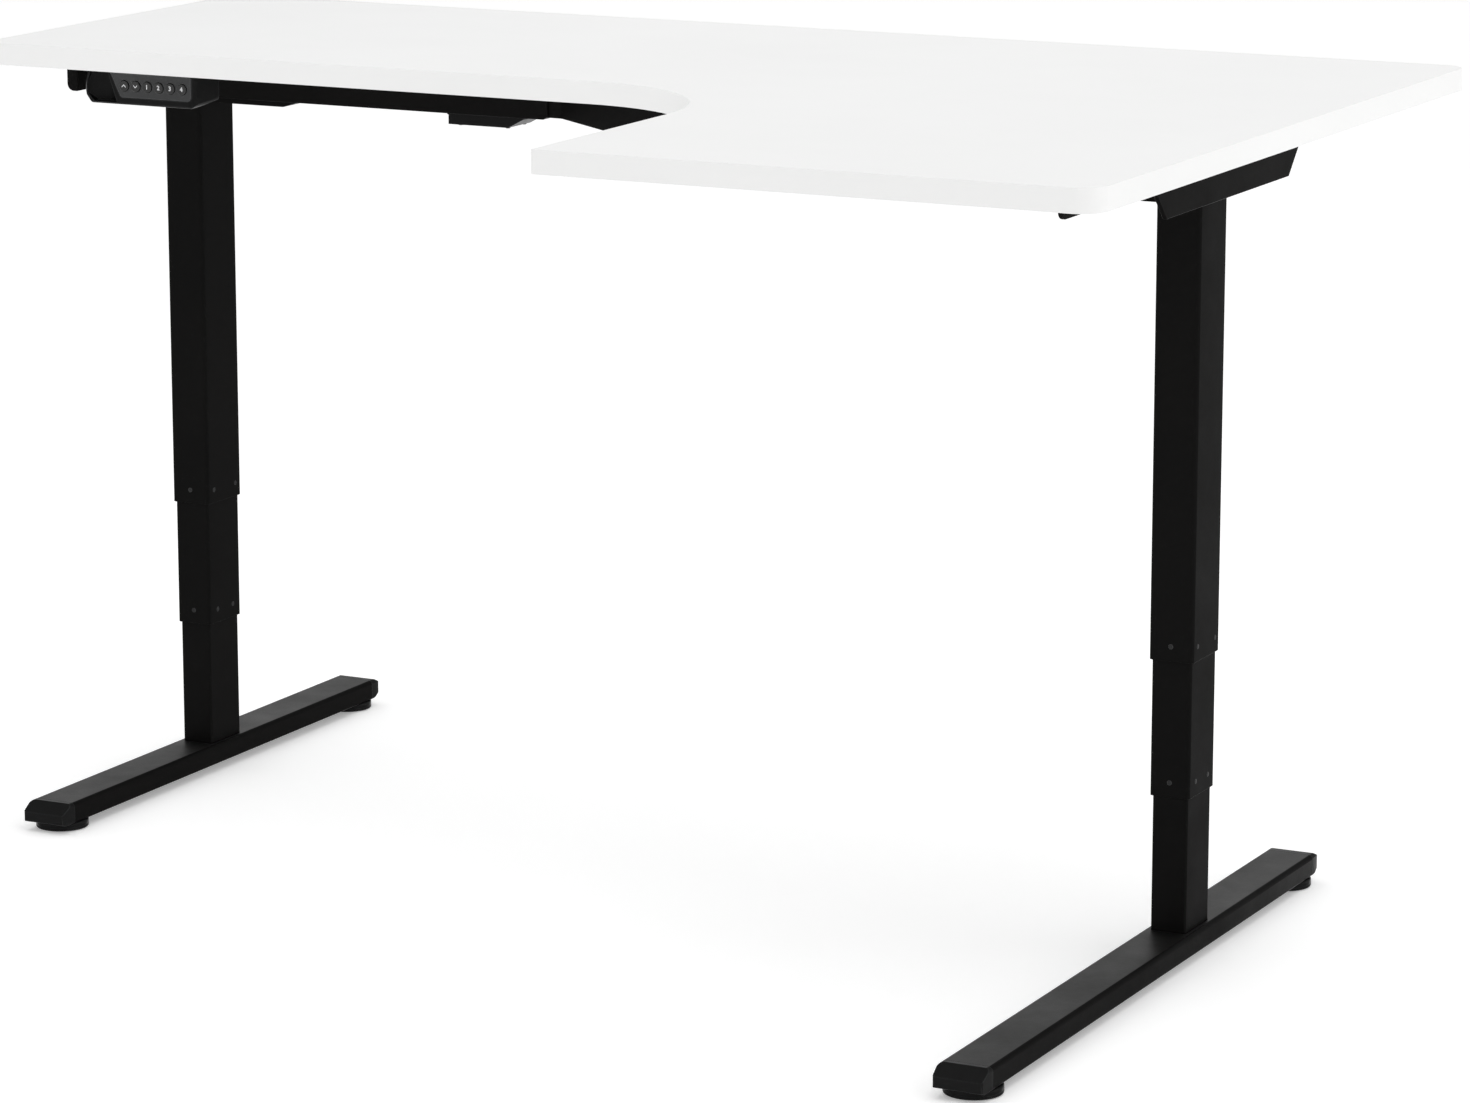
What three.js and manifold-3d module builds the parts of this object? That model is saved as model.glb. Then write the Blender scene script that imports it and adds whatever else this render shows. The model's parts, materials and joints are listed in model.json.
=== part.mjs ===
// Height adjustable standing desk: an L-shaped white top on two electric three-stage lifting columns.
// Units are millimetres. +Z is up, +X runs along the desk to the user's right, +Y points to its back.
// The origin is on the floor, at the middle of the whole desk.
import * as THREE from "three";
import { mergeVertices } from "three/addons/utils/BufferGeometryUtils.js";
import Module from "manifold-3d";

const wasm = await Module();
wasm.setup();

// ---- Driving dimensions ----
const GAP = 0.3; // clearance between pieces that meet
const LEG_SPACING = 1362; // centre to centre along X
const LEG_STAGGER = 239; // the right leg stands this far in front of the left one

const FOOT = {
  width: 56,
  height: 24,
  wall: 2,
  topRadius: 5,
  bottomRadius: 2,
  left: { front: 343, back: 335 }, // rail ends, measured from the leg's centre
  right: { front: 549, back: 325 },
  plate: { halfWidth: 23, halfDepth: 70 },
};
// Moulded ends: a flat top that goes on from the rail, a slope, an end face and an underside that rises.
const CAP = {
  plug: 5,
  taper: 1.2,
  front: { reach: 24.5, flat: 6, drop: 10.5, faceBottom: 2, undercut: 1, heel: 18 },
  rear: { reach: 19, flat: 10, drop: 5, faceBottom: 6, undercut: 0.5, heel: 4 },
};
const PAD = { radius: 30.5, height: 10, inset: 15, studRadius: 4, studHeight: 14, edge: 1.2 };

const STAGE = { wall: 1.3, inset: 2.5, radius: 4.5 };
const OUTER = { width: 50, depth: 75, bottom: 330 };
const MIDDLE = { bottom: 182, top: 670 };
const INNER = { bottom: 20.5, top: 510 };
const GLIDE = { thickness: 0.6, height: 60, lift: 3 };

const TOP = {
  underside: 878,
  thickness: 25,
  length: 1600,
  mainDepth: 555,
  returnDepth: 497, // how far the return reaches in front of the main part
  returnWidth: 608,
  backReach: 278, // from the left leg's centre to the back edge
  corner: 28,
  returnCorner: 4, // the return's front left corner
  innerCorner: 200,
  edge: 1,
};

const HEAD = { height: 63, wall: 2 };
const BRACKET = {
  left: { front: 115, back: 227.5 },
  right: { front: 169, back: 227.5 },
  thickness: 4.7,
  chamferRun: 27,
  chamferRise: 28,
  flange: { width: 20, thickness: 3, clear: 40 },
};
const HOUSING = {
  outboard: 25,
  inboard: 172,
  halfDepth: 30,
  skirtHalfDepth: 37.5,
  skirtHeight: 6.4,
  chamferRun: 33,
  chamferRise: 10,
};
const SPINDLE_HOLE = 12;
const LEFT_ARM = { width: 13.7, height: 33.7, front: 212.5, back: 140, lowRound: 8.5, highRound: 4 };
const RIGHT_ARM = {
  inner: 11, // from the leg's centre
  thickness: 5,
  height: 33,
  front: 378,
  back: -45,
  nose: 10,
  flange: 20,
  flangeThickness: 3,
};
const RAIL = {
  depth: 20,
  height: 55,
  wall: 2,
  innerDepth: 15,
  innerHeight: 50.4,
  notchRun: 6,
  notchRise: 4,
};
const RAIL_X = {
  outerStart: -641,
  outerEnd: -183,
  innerStart: -560,
  bendStart: -167,
  bendEnd: 150,
  innerEnd: 645,
};

const MOTOR = { radius: 24, length: 88, start: 34, shoulder: 8, bevel: 2, hub: 9 };
const GEARBOX = { halfX: 22, halfY: 25, height: 48, neckRadius: 19 };
const SPINDLE = { radius: 6, bottom: 345 };
const SCREW = { outer: 10, bore: 6.6, bottom: 200, top: 654 };
const UPPER_NUT = { bottom: 656, top: 670, bore: 6.4 };
const LOWER_NUT = { bottom: 492, top: 508, bore: 10.4 };

const CONTROL = {
  x0: -326,
  x1: -228,
  bottom: 807,
  top: 869,
  halfDepth: 27,
  wall: 2.5,
  chamferRun: 19.7,
  chamferRise: 10.4,
  board: { left: 6, right: 8, side: 2, lift: 40 },
};
const INLET = { width: 27, height: 20, reach: 9, wall: 2.5, lift: 9, passage: 3 };
const BLADE = { places: [-5.5, 0, 5.5], halfWidth: 0.8, halfHeight: 2, inset: 2 };
const BOARD_THICKNESS = 1.6;

const HANDSET = {
  left: -670,
  right: -522,
  setback: 15.5, // from the desktop's front edge to the face, in front of which only the buttons stand
  flare: 2, // how much wider the rear is on the right
  leftChamfer: 4,
  rightRound: 9,
  depth: 50,
  height: 39,
  lip: 3,
  lean: 8, // how far the left side leans in from its widest place up to the desktop
  waist: 854, // height of the left side's widest place
  toe: 11.5, // how far the lower left corner is cut in
  lowRound: 12,
  chin: 5,
  rise: 7, // how much the underside rises to the back
  scoop: { x: -643.5, ahead: 11, radius: 24.5, wall: 2.5, rib: 5 }, // the hollow beside the faceplate
  plate: { topLeft: -633.4, bottomLeft: -620.3, right: -526.5, top: 875.5, bottom: 848, radius: 5 },
  plateThickness: 2,
  cavity: { left: -622.2, right: -529, bottom: 854, top: 870, depth: 16 },
};
const BUTTON = {
  count: 6,
  first: -615,
  height: 861.3,
  pitch: 15.4,
  radius: 6.2,
  clearance: 0.5,
  proud: 1.6,
  depth: 9,
  edge: 0.6,
};

// ---- Places that follow from the dimensions ----
const REAR_END = FOOT.left.back + CAP.rear.reach;
const FRONT_END = FOOT.right.front + CAP.front.reach;
const LEFT_Y = (LEG_STAGGER + FRONT_END - REAR_END) / 2;
const RIGHT_Y = LEFT_Y - LEG_STAGGER;
const DESK_BACK = LEFT_Y + TOP.backReach;
const DESK_FRONT = DESK_BACK - TOP.mainDepth;
const FACE_Y = DESK_FRONT + HANDSET.setback;
const HEAD_BOTTOM = TOP.underside - HEAD.height;
const UNDER = TOP.underside - GAP;
const HANDSET_BOTTOM = UNDER - HANDSET.height;
const FOOT_BOTTOM = PAD.height;
const FOOT_TOP = FOOT_BOTTOM + FOOT.height;
const QUARTER = Math.PI / 2;
const PAST = 1; // how far a cutting shape runs past the face it opens
const LEGS = [
  { side: "left", x: -LEG_SPACING / 2, y: LEFT_Y, inboard: 1 },
  { side: "right", x: LEG_SPACING / 2, y: RIGHT_Y, inboard: -1 },
];

// ---- Materials ----
function material(color, roughness, metalness) {
  return new THREE.MeshStandardMaterial({ color, roughness, metalness });
}
const LOOK = {
  laminate: [0xf2f2f0, 0.45, 0],
  frame: [0x1c1b1c, 0.5, 0.2],
  plastic: [0x161617, 0.4, 0],
  nylon: [0x2c2c2e, 0.6, 0],
  plate: [0x3d3e40, 0.4, 0],
  button: [0x121213, 0.35, 0],
  zinc: [0xa9aaab, 0.35, 1],
  board: [0x1f4a33, 0.5, 0],
};

const desk = new THREE.Group();

// ---- Solids ----
// A closed three.js geometry as a manifold solid.
function solid(geometry) {
  const plain = geometry.index ? geometry.toNonIndexed() : geometry.clone();
  plain.deleteAttribute("normal");
  plain.deleteAttribute("uv");
  const merged = mergeVertices(plain, 1e-4);
  return new wasm.Manifold(
    new wasm.Mesh({
      numProp: 3,
      vertProperties: merged.attributes.position.array,
      triVerts: new Uint32Array(merged.index.array),
    }),
  );
}

// A manifold solid back as a three.js geometry.
function geometryOf(manifold) {
  const mesh = manifold.getMesh();
  const geometry = new THREE.BufferGeometry();
  geometry.setAttribute("position", new THREE.BufferAttribute(mesh.vertProperties, 3));
  geometry.setIndex(new THREE.BufferAttribute(mesh.triVerts, 1));
  geometry.computeVertexNormals();
  return geometry;
}

function add(parent, name, shape, look) {
  const geometry = shape.isBufferGeometry ? shape : geometryOf(shape);
  const mesh = new THREE.Mesh(geometry, material(...LOOK[look]));
  mesh.name = name;
  parent.add(mesh);
}

// A block between two corners.
function block([x0, y0, z0], [x1, y1, z1]) {
  const geometry = new THREE.BoxGeometry(Math.abs(x1 - x0), y1 - y0, z1 - z0);
  return geometry.translate((x0 + x1) / 2, (y0 + y1) / 2, (z0 + z1) / 2);
}

// A turned piece about +Z: the profile is a list of [radius, z] from the axis and back to it.
function turned(profile, sides = 32) {
  const points = profile.map(([r, z]) => new THREE.Vector2(r, z));
  return new THREE.LatheGeometry(points, sides).rotateX(Math.PI / 2);
}

function rod(radius, z0, z1, sides = 24) {
  return turned([[0, z0], [radius, z0], [radius, z1], [0, z1]], sides);
}

function pipe(outer, bore, z0, z1, sides = 24) {
  return turned([[bore, z0], [outer, z0], [outer, z1], [bore, z1], [bore, z0]], sides);
}

// A rectangle with round corners, centred on the origin.
function roundedRectangle(width, depth, radius) {
  const [w, d, r] = [width / 2, depth / 2, radius];
  const shape = new THREE.Shape();
  shape.moveTo(-w + r, -d);
  shape.lineTo(w - r, -d);
  shape.absarc(w - r, -d + r, r, -Math.PI / 2, 0);
  shape.lineTo(w, d - r);
  shape.absarc(w - r, d - r, r, 0, Math.PI / 2);
  shape.lineTo(-w + r, d);
  shape.absarc(-w + r, d - r, r, Math.PI / 2, Math.PI);
  shape.lineTo(-w, -d + r);
  shape.absarc(-w + r, -d + r, r, Math.PI, 1.5 * Math.PI);
  return shape;
}

function extrude(shape, z0, z1, curveSegments = 4) {
  const geometry = new THREE.ExtrudeGeometry(shape, { depth: z1 - z0, bevelEnabled: false, curveSegments });
  return geometry.translate(0, 0, z0);
}

// Stands a plan outline's extrusion up, so that its outline reads as (Y, Z) and it runs along X.
function alongX(shape, x0, x1, curveSegments) {
  return extrude(shape, x0, x1, curveSegments).rotateX(Math.PI / 2).rotateZ(Math.PI / 2);
}

// The same for an outline read as (X, Z) that runs along Y.
function alongY(shape, y0, y1, curveSegments) {
  return extrude(shape, -y1, -y0, curveSegments).rotateX(Math.PI / 2);
}

function rectangularTube(width, depth, radius, wall, z0, z1) {
  const shape = roundedRectangle(width, depth, radius);
  shape.holes.push(roundedRectangle(width - 2 * wall, depth - 2 * wall, radius - wall));
  return extrude(shape, z0, z1);
}

// ---- The desktop ----
function desktopOutline() {
  const [x0, x1] = [-TOP.length / 2, TOP.length / 2];
  const returnFront = DESK_FRONT - TOP.returnDepth;
  const returnLeft = x1 - TOP.returnWidth;
  const [r, q, s] = [TOP.corner, TOP.innerCorner, TOP.returnCorner];
  const shape = new THREE.Shape();
  shape.moveTo(x0 + r, DESK_FRONT);
  shape.lineTo(returnLeft - q, DESK_FRONT);
  shape.absarc(returnLeft - q, DESK_FRONT - q, q, QUARTER, 0, true);
  shape.lineTo(returnLeft, returnFront + s);
  shape.absarc(returnLeft + s, returnFront + s, s, 2 * QUARTER, 3 * QUARTER);
  shape.lineTo(x1 - r, returnFront);
  shape.absarc(x1 - r, returnFront + r, r, -QUARTER, 0);
  shape.lineTo(x1, DESK_BACK - r);
  shape.absarc(x1 - r, DESK_BACK - r, r, 0, QUARTER);
  shape.lineTo(x0 + r, DESK_BACK);
  shape.absarc(x0 + r, DESK_BACK - r, r, QUARTER, 2 * QUARTER);
  shape.lineTo(x0, DESK_FRONT + r);
  shape.absarc(x0 + r, DESK_FRONT + r, r, 2 * QUARTER, 3 * QUARTER);
  return shape;
}

function addDesktop() {
  const geometry = new THREE.ExtrudeGeometry(desktopOutline(), {
    depth: TOP.thickness - 2 * TOP.edge,
    bevelThickness: TOP.edge,
    bevelSize: TOP.edge,
    bevelOffset: -TOP.edge,
    bevelSegments: 1,
    curveSegments: 12,
  });
  geometry.translate(0, 0, TOP.underside + TOP.edge);
  add(desk, "desktop", geometry, "laminate");
}

// ---- Feet ----
// The rail's section, read as (X, Z): round upper edges, tighter lower ones.
function footSection(offset) {
  const w = FOOT.width / 2 - offset;
  const [z0, z1] = [FOOT_BOTTOM + offset, FOOT_TOP - offset];
  const top = FOOT.topRadius - offset;
  const low = Math.max(FOOT.bottomRadius - offset, STAGE.wall / 2);
  const shape = new THREE.Shape();
  shape.moveTo(-w + low, z0);
  shape.lineTo(w - low, z0);
  shape.absarc(w - low, z0 + low, low, -QUARTER, 0);
  shape.lineTo(w, z1 - top);
  shape.absarc(w - top, z1 - top, top, 0, QUARTER);
  shape.lineTo(-w + top, z1);
  shape.absarc(-w + top, z1 - top, top, QUARTER, 2 * QUARTER);
  shape.lineTo(-w, z0 + low);
  shape.absarc(-w + low, z0 + low, low, 2 * QUARTER, 3 * QUARTER);
  return shape;
}

function addFootRail(leg, side, reach) {
  const section = footSection(0);
  section.holes.push(footSection(FOOT.wall));
  let rail = solid(alongY(section, -reach.front, reach.back));
  const slot = roundedRectangle(innerSize.width + 2 * GAP, innerSize.depth + 2 * GAP, innerSize.radius);
  rail = rail.subtract(solid(extrude(slot, FOOT_TOP - 2 * FOOT.wall, FOOT_TOP + PAST)));
  for (const y of [-reach.front + PAD.inset, reach.back - PAD.inset]) {
    const hole = rod(PAD.studRadius + GAP, 0, FOOT_BOTTOM + 2 * FOOT.wall).translate(0, y, 0);
    rail = rail.subtract(solid(hole));
  }
  add(leg, `${side}_foot_rail`, rail, "frame");
}

// A moulded end with a plug into the rail. It is made pointing to -Y with its joint at y = 0.
function footCap({ reach, flat, drop, faceBottom, undercut, heel }) {
  const w = FOOT.width / 2;
  const profile = new THREE.Shape();
  profile.moveTo(-GAP, FOOT_BOTTOM);
  profile.lineTo(-GAP, FOOT_TOP);
  profile.lineTo(-flat, FOOT_TOP);
  profile.lineTo(-reach, FOOT_TOP - drop);
  profile.lineTo(-reach + undercut, FOOT_BOTTOM + faceBottom);
  profile.lineTo(-heel, FOOT_BOTTOM);
  const plan = new THREE.Shape();
  plan.moveTo(-w, 0);
  plan.lineTo(-w, -flat);
  plan.quadraticCurveTo(-w, -reach + CAP.taper, -w + CAP.taper, -reach);
  plan.lineTo(w - CAP.taper, -reach);
  plan.quadraticCurveTo(w, -reach + CAP.taper, w, -flat);
  plan.lineTo(w, 0);
  const nose = solid(alongX(profile, -w, w))
    .intersect(solid(extrude(plan, FOOT_BOTTOM - PAST, FOOT_TOP + PAST)))
    .intersect(solid(alongY(footSection(0), -reach - PAST, PAST)));
  const inside = FOOT.wall + GAP;
  const side = w - inside - PAST;
  const plug = block([-side, -PAST, FOOT_BOTTOM + inside], [side, CAP.plug, FOOT_TOP - inside - PAST]);
  return geometryOf(nose.add(solid(plug)));
}

function addLeveller(leg, name, y) {
  const { radius, height, edge, studRadius, studHeight } = PAD;
  const top = height - GAP;
  const profile = [
    [0, 0],
    [radius - edge, 0],
    [radius, edge],
    [radius, top - edge],
    [radius - edge, top],
    [studRadius, top],
    [studRadius, height + studHeight],
    [0, height + studHeight],
  ];
  add(leg, name, turned(profile, 28).translate(0, y, 0), "plastic");
}

function addFoot(leg, side) {
  const reach = FOOT[side];
  addFootRail(leg, side, reach);
  const front = footCap(CAP.front).translate(0, -reach.front, 0);
  const rear = footCap(CAP.rear).rotateZ(Math.PI).translate(0, reach.back, 0);
  add(leg, `${side}_foot_cap_front`, front, "plastic");
  add(leg, `${side}_foot_cap_rear`, rear, "plastic");
  addLeveller(leg, `${side}_leveller_front`, -reach.front + PAD.inset);
  addLeveller(leg, `${side}_leveller_rear`, reach.back - PAD.inset);
  const { halfWidth, halfDepth } = FOOT.plate;
  const floor = FOOT_BOTTOM + FOOT.wall + GAP;
  const plate = block([-halfWidth, -halfDepth, floor], [halfWidth, halfDepth, INNER.bottom - GAP]);
  add(leg, `${side}_foot_plate`, plate, "zinc");
}

// ---- Lifting column ----
function stageSize(step) {
  const shrink = 2 * STAGE.inset * step;
  return { width: OUTER.width - shrink, depth: OUTER.depth - shrink, radius: STAGE.radius - step };
}
const middleSize = stageSize(1);
const innerSize = stageSize(2);

function addStage(leg, name, size, z0, z1) {
  add(leg, name, rectangularTube(size.width, size.depth, size.radius, STAGE.wall, z0, z1), "frame");
}

// A thin sleeve of glide pads in the gap between a stage and the one that slides in it.
function addGlide(leg, name, size, bottom) {
  const room = STAGE.inset - STAGE.wall;
  const margin = (room - GLIDE.thickness) / 2;
  const width = size.width + 2 * (margin + GLIDE.thickness);
  const depth = size.depth + 2 * (margin + GLIDE.thickness);
  const z0 = bottom + GLIDE.lift;
  const sleeve = rectangularTube(width, depth, size.radius + 1, GLIDE.thickness, z0, z0 + GLIDE.height);
  add(leg, name, sleeve, "nylon");
}

function addNut(leg, name, size, nut) {
  const inset = STAGE.wall + GAP;
  const shape = roundedRectangle(size.width - 2 * inset, size.depth - 2 * inset, size.radius - STAGE.wall);
  shape.holes.push(new THREE.Path().absarc(0, 0, nut.bore, 0, 2 * Math.PI, true));
  add(leg, name, extrude(shape, nut.bottom, nut.top, 8), "nylon");
}

function addColumn(leg, side) {
  addStage(leg, `${side}_outer_tube`, stageSize(0), OUTER.bottom, HEAD_BOTTOM - GAP);
  addStage(leg, `${side}_middle_tube`, middleSize, MIDDLE.bottom, MIDDLE.top);
  addStage(leg, `${side}_inner_tube`, innerSize, INNER.bottom, INNER.top);
  addGlide(leg, `${side}_outer_glide`, middleSize, OUTER.bottom);
  addGlide(leg, `${side}_middle_glide`, innerSize, MIDDLE.bottom);
  addNut(leg, `${side}_upper_nut`, middleSize, UPPER_NUT);
  addNut(leg, `${side}_lower_nut`, innerSize, LOWER_NUT);
  const top = HEAD_BOTTOM + HEAD.wall;
  add(leg, `${side}_upper_spindle`, rod(SPINDLE.radius, SPINDLE.bottom, top), "zinc");
  add(leg, `${side}_lower_spindle`, pipe(SCREW.outer, SCREW.bore, SCREW.bottom, SCREW.top), "zinc");
}

// ---- Leg head ----
// The bracket's side outline, read as (Y, Z): a long plate whose lower corners are cut away.
function bracketOutline(reach) {
  const [y0, y1] = [-reach.front, reach.back];
  const shoulder = HEAD_BOTTOM + BRACKET.chamferRise;
  const shape = new THREE.Shape();
  shape.moveTo(y0, UNDER);
  shape.lineTo(y0, shoulder);
  shape.lineTo(y0 + BRACKET.chamferRun, HEAD_BOTTOM);
  shape.lineTo(y1 - BRACKET.chamferRun, HEAD_BOTTOM);
  shape.lineTo(y1, shoulder);
  shape.lineTo(y1, UNDER);
  return shape;
}

// A steel side plate on the outboard face of the head, with two flanges under the desktop.
function addBracket(leg, side, inboard) {
  const reach = BRACKET[side];
  const near = HOUSING.outboard + GAP;
  const far = near + BRACKET.thickness;
  const [x0, x1] = inboard > 0 ? [-far, -near] : [near, far];
  let bracket = solid(alongX(bracketOutline(reach), x0, x1));
  const { width, thickness, clear } = BRACKET.flange;
  for (const [y0, y1] of [[-reach.front, -clear], [clear, reach.back]]) {
    bracket = bracket.add(solid(block([x1 - PAST, y0, UNDER - thickness], [x1 + width, y1, UNDER])));
  }
  add(leg, `${side}_side_bracket`, bracket, "frame");
}

// The channel that caps the column and carries the motor, open to the desktop, with its free end
// folded up in a chamfer. Its outline is read as (X, Z).
function housingOutline(inboard, offset) {
  const start = -HOUSING.outboard + offset;
  const end = HOUSING.inboard - offset;
  const z0 = HEAD_BOTTOM + offset;
  const shape = new THREE.Shape();
  shape.moveTo(inboard * start, UNDER + offset);
  shape.lineTo(inboard * start, z0);
  shape.lineTo(inboard * (end - HOUSING.chamferRun), z0);
  shape.lineTo(inboard * end, z0 + HOUSING.chamferRise);
  shape.lineTo(inboard * end, UNDER + offset);
  return shape;
}

function addMotorHousing(leg, side, inboard) {
  const [d, skirt] = [HOUSING.halfDepth, HOUSING.skirtHalfDepth];
  const skirtTop = HEAD_BOTTOM + HOUSING.skirtHeight;
  const channel = solid(alongY(housingOutline(inboard, 0), -d, d));
  const low = block([-HOUSING.inboard, -skirt, HEAD_BOTTOM], [HOUSING.inboard, skirt, skirtTop]);
  const base = solid(alongY(housingOutline(inboard, 0), -skirt, skirt)).intersect(solid(low));
  const hollow = solid(alongY(housingOutline(inboard, HEAD.wall), -d + HEAD.wall, d - HEAD.wall));
  const spindleHole = rod(SPINDLE_HOLE, HEAD_BOTTOM - PAST, HEAD_BOTTOM + HEAD.wall + PAST);
  const housing = channel.add(base).subtract(hollow).subtract(solid(spindleHole));
  add(leg, `${side}_motor_housing`, housing, "frame");
}

function addDrive(leg, side, inboard) {
  const centre = HEAD_BOTTOM + HEAD.height / 2;
  const floor = HEAD_BOTTOM + HEAD.wall + GAP;
  const lie = (geometry, start) => geometry.rotateY(inboard * QUARTER).translate(inboard * start, 0, centre);
  const { halfX, halfY, height, neckRadius } = GEARBOX;
  const body = block([-halfX, -halfY, floor], [halfX, halfY, floor + height]);
  const neck = lie(rod(neckRadius, 0, MOTOR.start - halfX - GAP + PAST), halfX - PAST);
  add(leg, `${side}_gearbox`, solid(body).add(solid(neck)), "plastic");
  const { radius, length, shoulder, bevel, hub, start } = MOTOR;
  const can = turned([
    [0, 0],
    [radius, 0],
    [radius, length - shoulder - bevel],
    [radius - bevel, length - shoulder],
    [hub, length - shoulder],
    [hub, length],
    [0, length],
  ]);
  add(leg, `${side}_motor`, lie(can, start), "zinc");
}

// ---- Support arms ----
// A tube under the top, outboard of the left bracket, with a closed front end. Its outline is (X, Z).
function leftArmOutline(x0, x1, offset) {
  const [top, low] = [UNDER - offset, UNDER - LEFT_ARM.height + offset];
  const [left, right] = [x0 + offset, x1 - offset];
  const [r, s] = [LEFT_ARM.lowRound - offset, LEFT_ARM.highRound - offset];
  const shape = new THREE.Shape();
  shape.moveTo(right, top);
  shape.lineTo(left + s, top);
  shape.absarc(left + s, top - s, s, QUARTER, 2 * QUARTER);
  shape.lineTo(left, low + r);
  shape.absarc(left + r, low + r, r, 2 * QUARTER, 3 * QUARTER);
  shape.lineTo(right, low);
  return shape;
}

function addLeftArm({ x, y }) {
  const x1 = x - HOUSING.outboard - BRACKET.thickness - 2 * GAP;
  const x0 = x1 - LEFT_ARM.width;
  const [front, back] = [y - LEFT_ARM.front, y + LEFT_ARM.back];
  const body = solid(alongY(leftArmOutline(x0, x1, 0), front, back, 6));
  const core = solid(alongY(leftArmOutline(x0, x1, HEAD.wall), front + HEAD.wall, back + PAST, 6));
  add(desk, "left_support_arm", body.subtract(core), "frame");
}

// A steel angle under the return: an upright web with a round nose, and a flange on the desktop.
function addRightArm({ x, y }) {
  const { inner, thickness, height, front, back, nose, flange, flangeThickness } = RIGHT_ARM;
  const [y0, y1] = [y - front, y + back];
  const low = UNDER - height;
  const web = new THREE.Shape();
  web.moveTo(y0, UNDER);
  web.lineTo(y0, low + nose);
  web.absarc(y0 + nose, low + nose, nose, 2 * QUARTER, 3 * QUARTER);
  web.lineTo(y1, low);
  web.lineTo(y1, UNDER);
  const x0 = x + inner;
  const plate = solid(alongX(web, x0, x0 + thickness, 8));
  const top = block([x0 - flange, y0, UNDER - flangeThickness], [x0 + PAST, y1, UNDER]);
  add(desk, "right_support_arm", plate.add(solid(top)), "frame");
}

// ---- Cross rails ----
// A rail's plan path as a band of constant depth between two lines, bent where the legs are staggered.
function bentBand(xs, y0, depth) {
  const [start, bendStart, bendEnd, end] = xs;
  const near = [
    [start, y0],
    [bendStart, y0],
    [bendEnd, y0 - LEG_STAGGER],
    [end, y0 - LEG_STAGGER],
  ];
  const slope = LEG_STAGGER / (bendEnd - bendStart);
  const shift = (depth * (Math.hypot(1, slope) - 1)) / slope;
  const far = [
    [end, y0 - LEG_STAGGER + depth],
    [bendEnd + shift, y0 - LEG_STAGGER + depth],
    [bendStart + shift, y0 + depth],
    [start, y0 + depth],
  ];
  return new THREE.Shape([...near, ...far].map(([x, y]) => new THREE.Vector2(x, y)));
}

// The hollow of a bent rail runs past both of its open ends.
function coreEnds([start, bendStart, bendEnd, end]) {
  const slope = LEG_STAGGER / (bendEnd - bendStart);
  const shift = (RAIL.wall * (Math.hypot(1, slope) - 1)) / slope;
  return [start - PAST, bendStart + shift, bendEnd + shift, end + PAST];
}

function addOuterRail(name, y0) {
  const { depth, height, wall, notchRun, notchRise } = RAIL;
  const bottom = UNDER - height;
  const { outerStart, outerEnd } = RAIL_X;
  const shape = new THREE.Shape();
  shape.moveTo(outerStart, UNDER);
  shape.lineTo(outerStart, bottom);
  shape.lineTo(outerEnd - notchRun, bottom);
  shape.lineTo(outerEnd, bottom + notchRise);
  shape.lineTo(outerEnd, UNDER);
  const body = solid(alongY(shape, y0, y0 + depth));
  const hollow = block(
    [outerStart - PAST, y0 + wall, bottom + wall],
    [outerEnd + PAST, y0 + depth - wall, UNDER - wall],
  );
  add(desk, name, body.subtract(solid(hollow)), "frame");
}

function addInnerRail(name, y0) {
  const { depth, wall, innerDepth, innerHeight } = RAIL;
  const xs = [RAIL_X.innerStart, RAIL_X.bendStart, RAIL_X.bendEnd, RAIL_X.innerEnd];
  const y = y0 + (depth - innerDepth) / 2;
  const top = UNDER - wall - GAP;
  const low = top - innerHeight;
  const bar = solid(extrude(bentBand(xs, y, innerDepth), low, top));
  const core = extrude(bentBand(coreEnds(xs), y + wall, innerDepth - 2 * wall), low + wall, top - wall);
  add(desk, name, bar.subtract(solid(core)), "frame");
}

function addRails() {
  const clear = HOUSING.halfDepth + GAP;
  for (const [name, y0] of [["front", LEFT_Y - clear - RAIL.depth], ["rear", LEFT_Y + clear]]) {
    addOuterRail(`${name}_rail_outer`, y0);
    addInnerRail(`${name}_rail_inner`, y0);
  }
}

// ---- Electrics ----
// The control box's outline, read as (X, Z): its lower right edge is cut away.
function controlOutline(offset) {
  const { x0, x1, bottom, top, chamferRun, chamferRise } = CONTROL;
  const shape = new THREE.Shape();
  shape.moveTo(x0 + offset, top + offset);
  shape.lineTo(x0 + offset, bottom + offset);
  shape.lineTo(x1 - chamferRun - offset / 2, bottom + offset);
  shape.lineTo(x1 - offset, bottom + chamferRise + offset / 2);
  shape.lineTo(x1 - offset, top + offset);
  return shape;
}

function addControlBox() {
  const { x0, x1, bottom, top, halfDepth, wall, board } = CONTROL;
  const y = LEFT_Y;
  const inside = halfDepth - wall;
  const shell = solid(alongY(controlOutline(0), y - halfDepth, y + halfDepth));
  const hollow = solid(alongY(controlOutline(wall), y - inside, y + inside));
  const [halfPassage, low] = [INLET.width / 2 - INLET.passage, bottom + INLET.lift];
  const passage = block(
    [x0 - PAST, y - halfPassage, low + INLET.passage],
    [x0 + wall + PAST, y + halfPassage, low + INLET.height - INLET.passage],
  );
  add(desk, "control_box", shell.subtract(hollow).subtract(solid(passage)), "plastic");
  const lid = block([x0, y - halfDepth, top + GAP], [x1, y + halfDepth, top + GAP + wall]);
  add(desk, "control_box_lid", lid, "plastic");
  const [side, z] = [inside - board.side, bottom + board.lift];
  const circuit = block(
    [x0 + board.left, y - side, z],
    [x1 - board.right, y + side, z + BOARD_THICKNESS],
  );
  add(desk, "control_board", circuit, "board");
}

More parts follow.
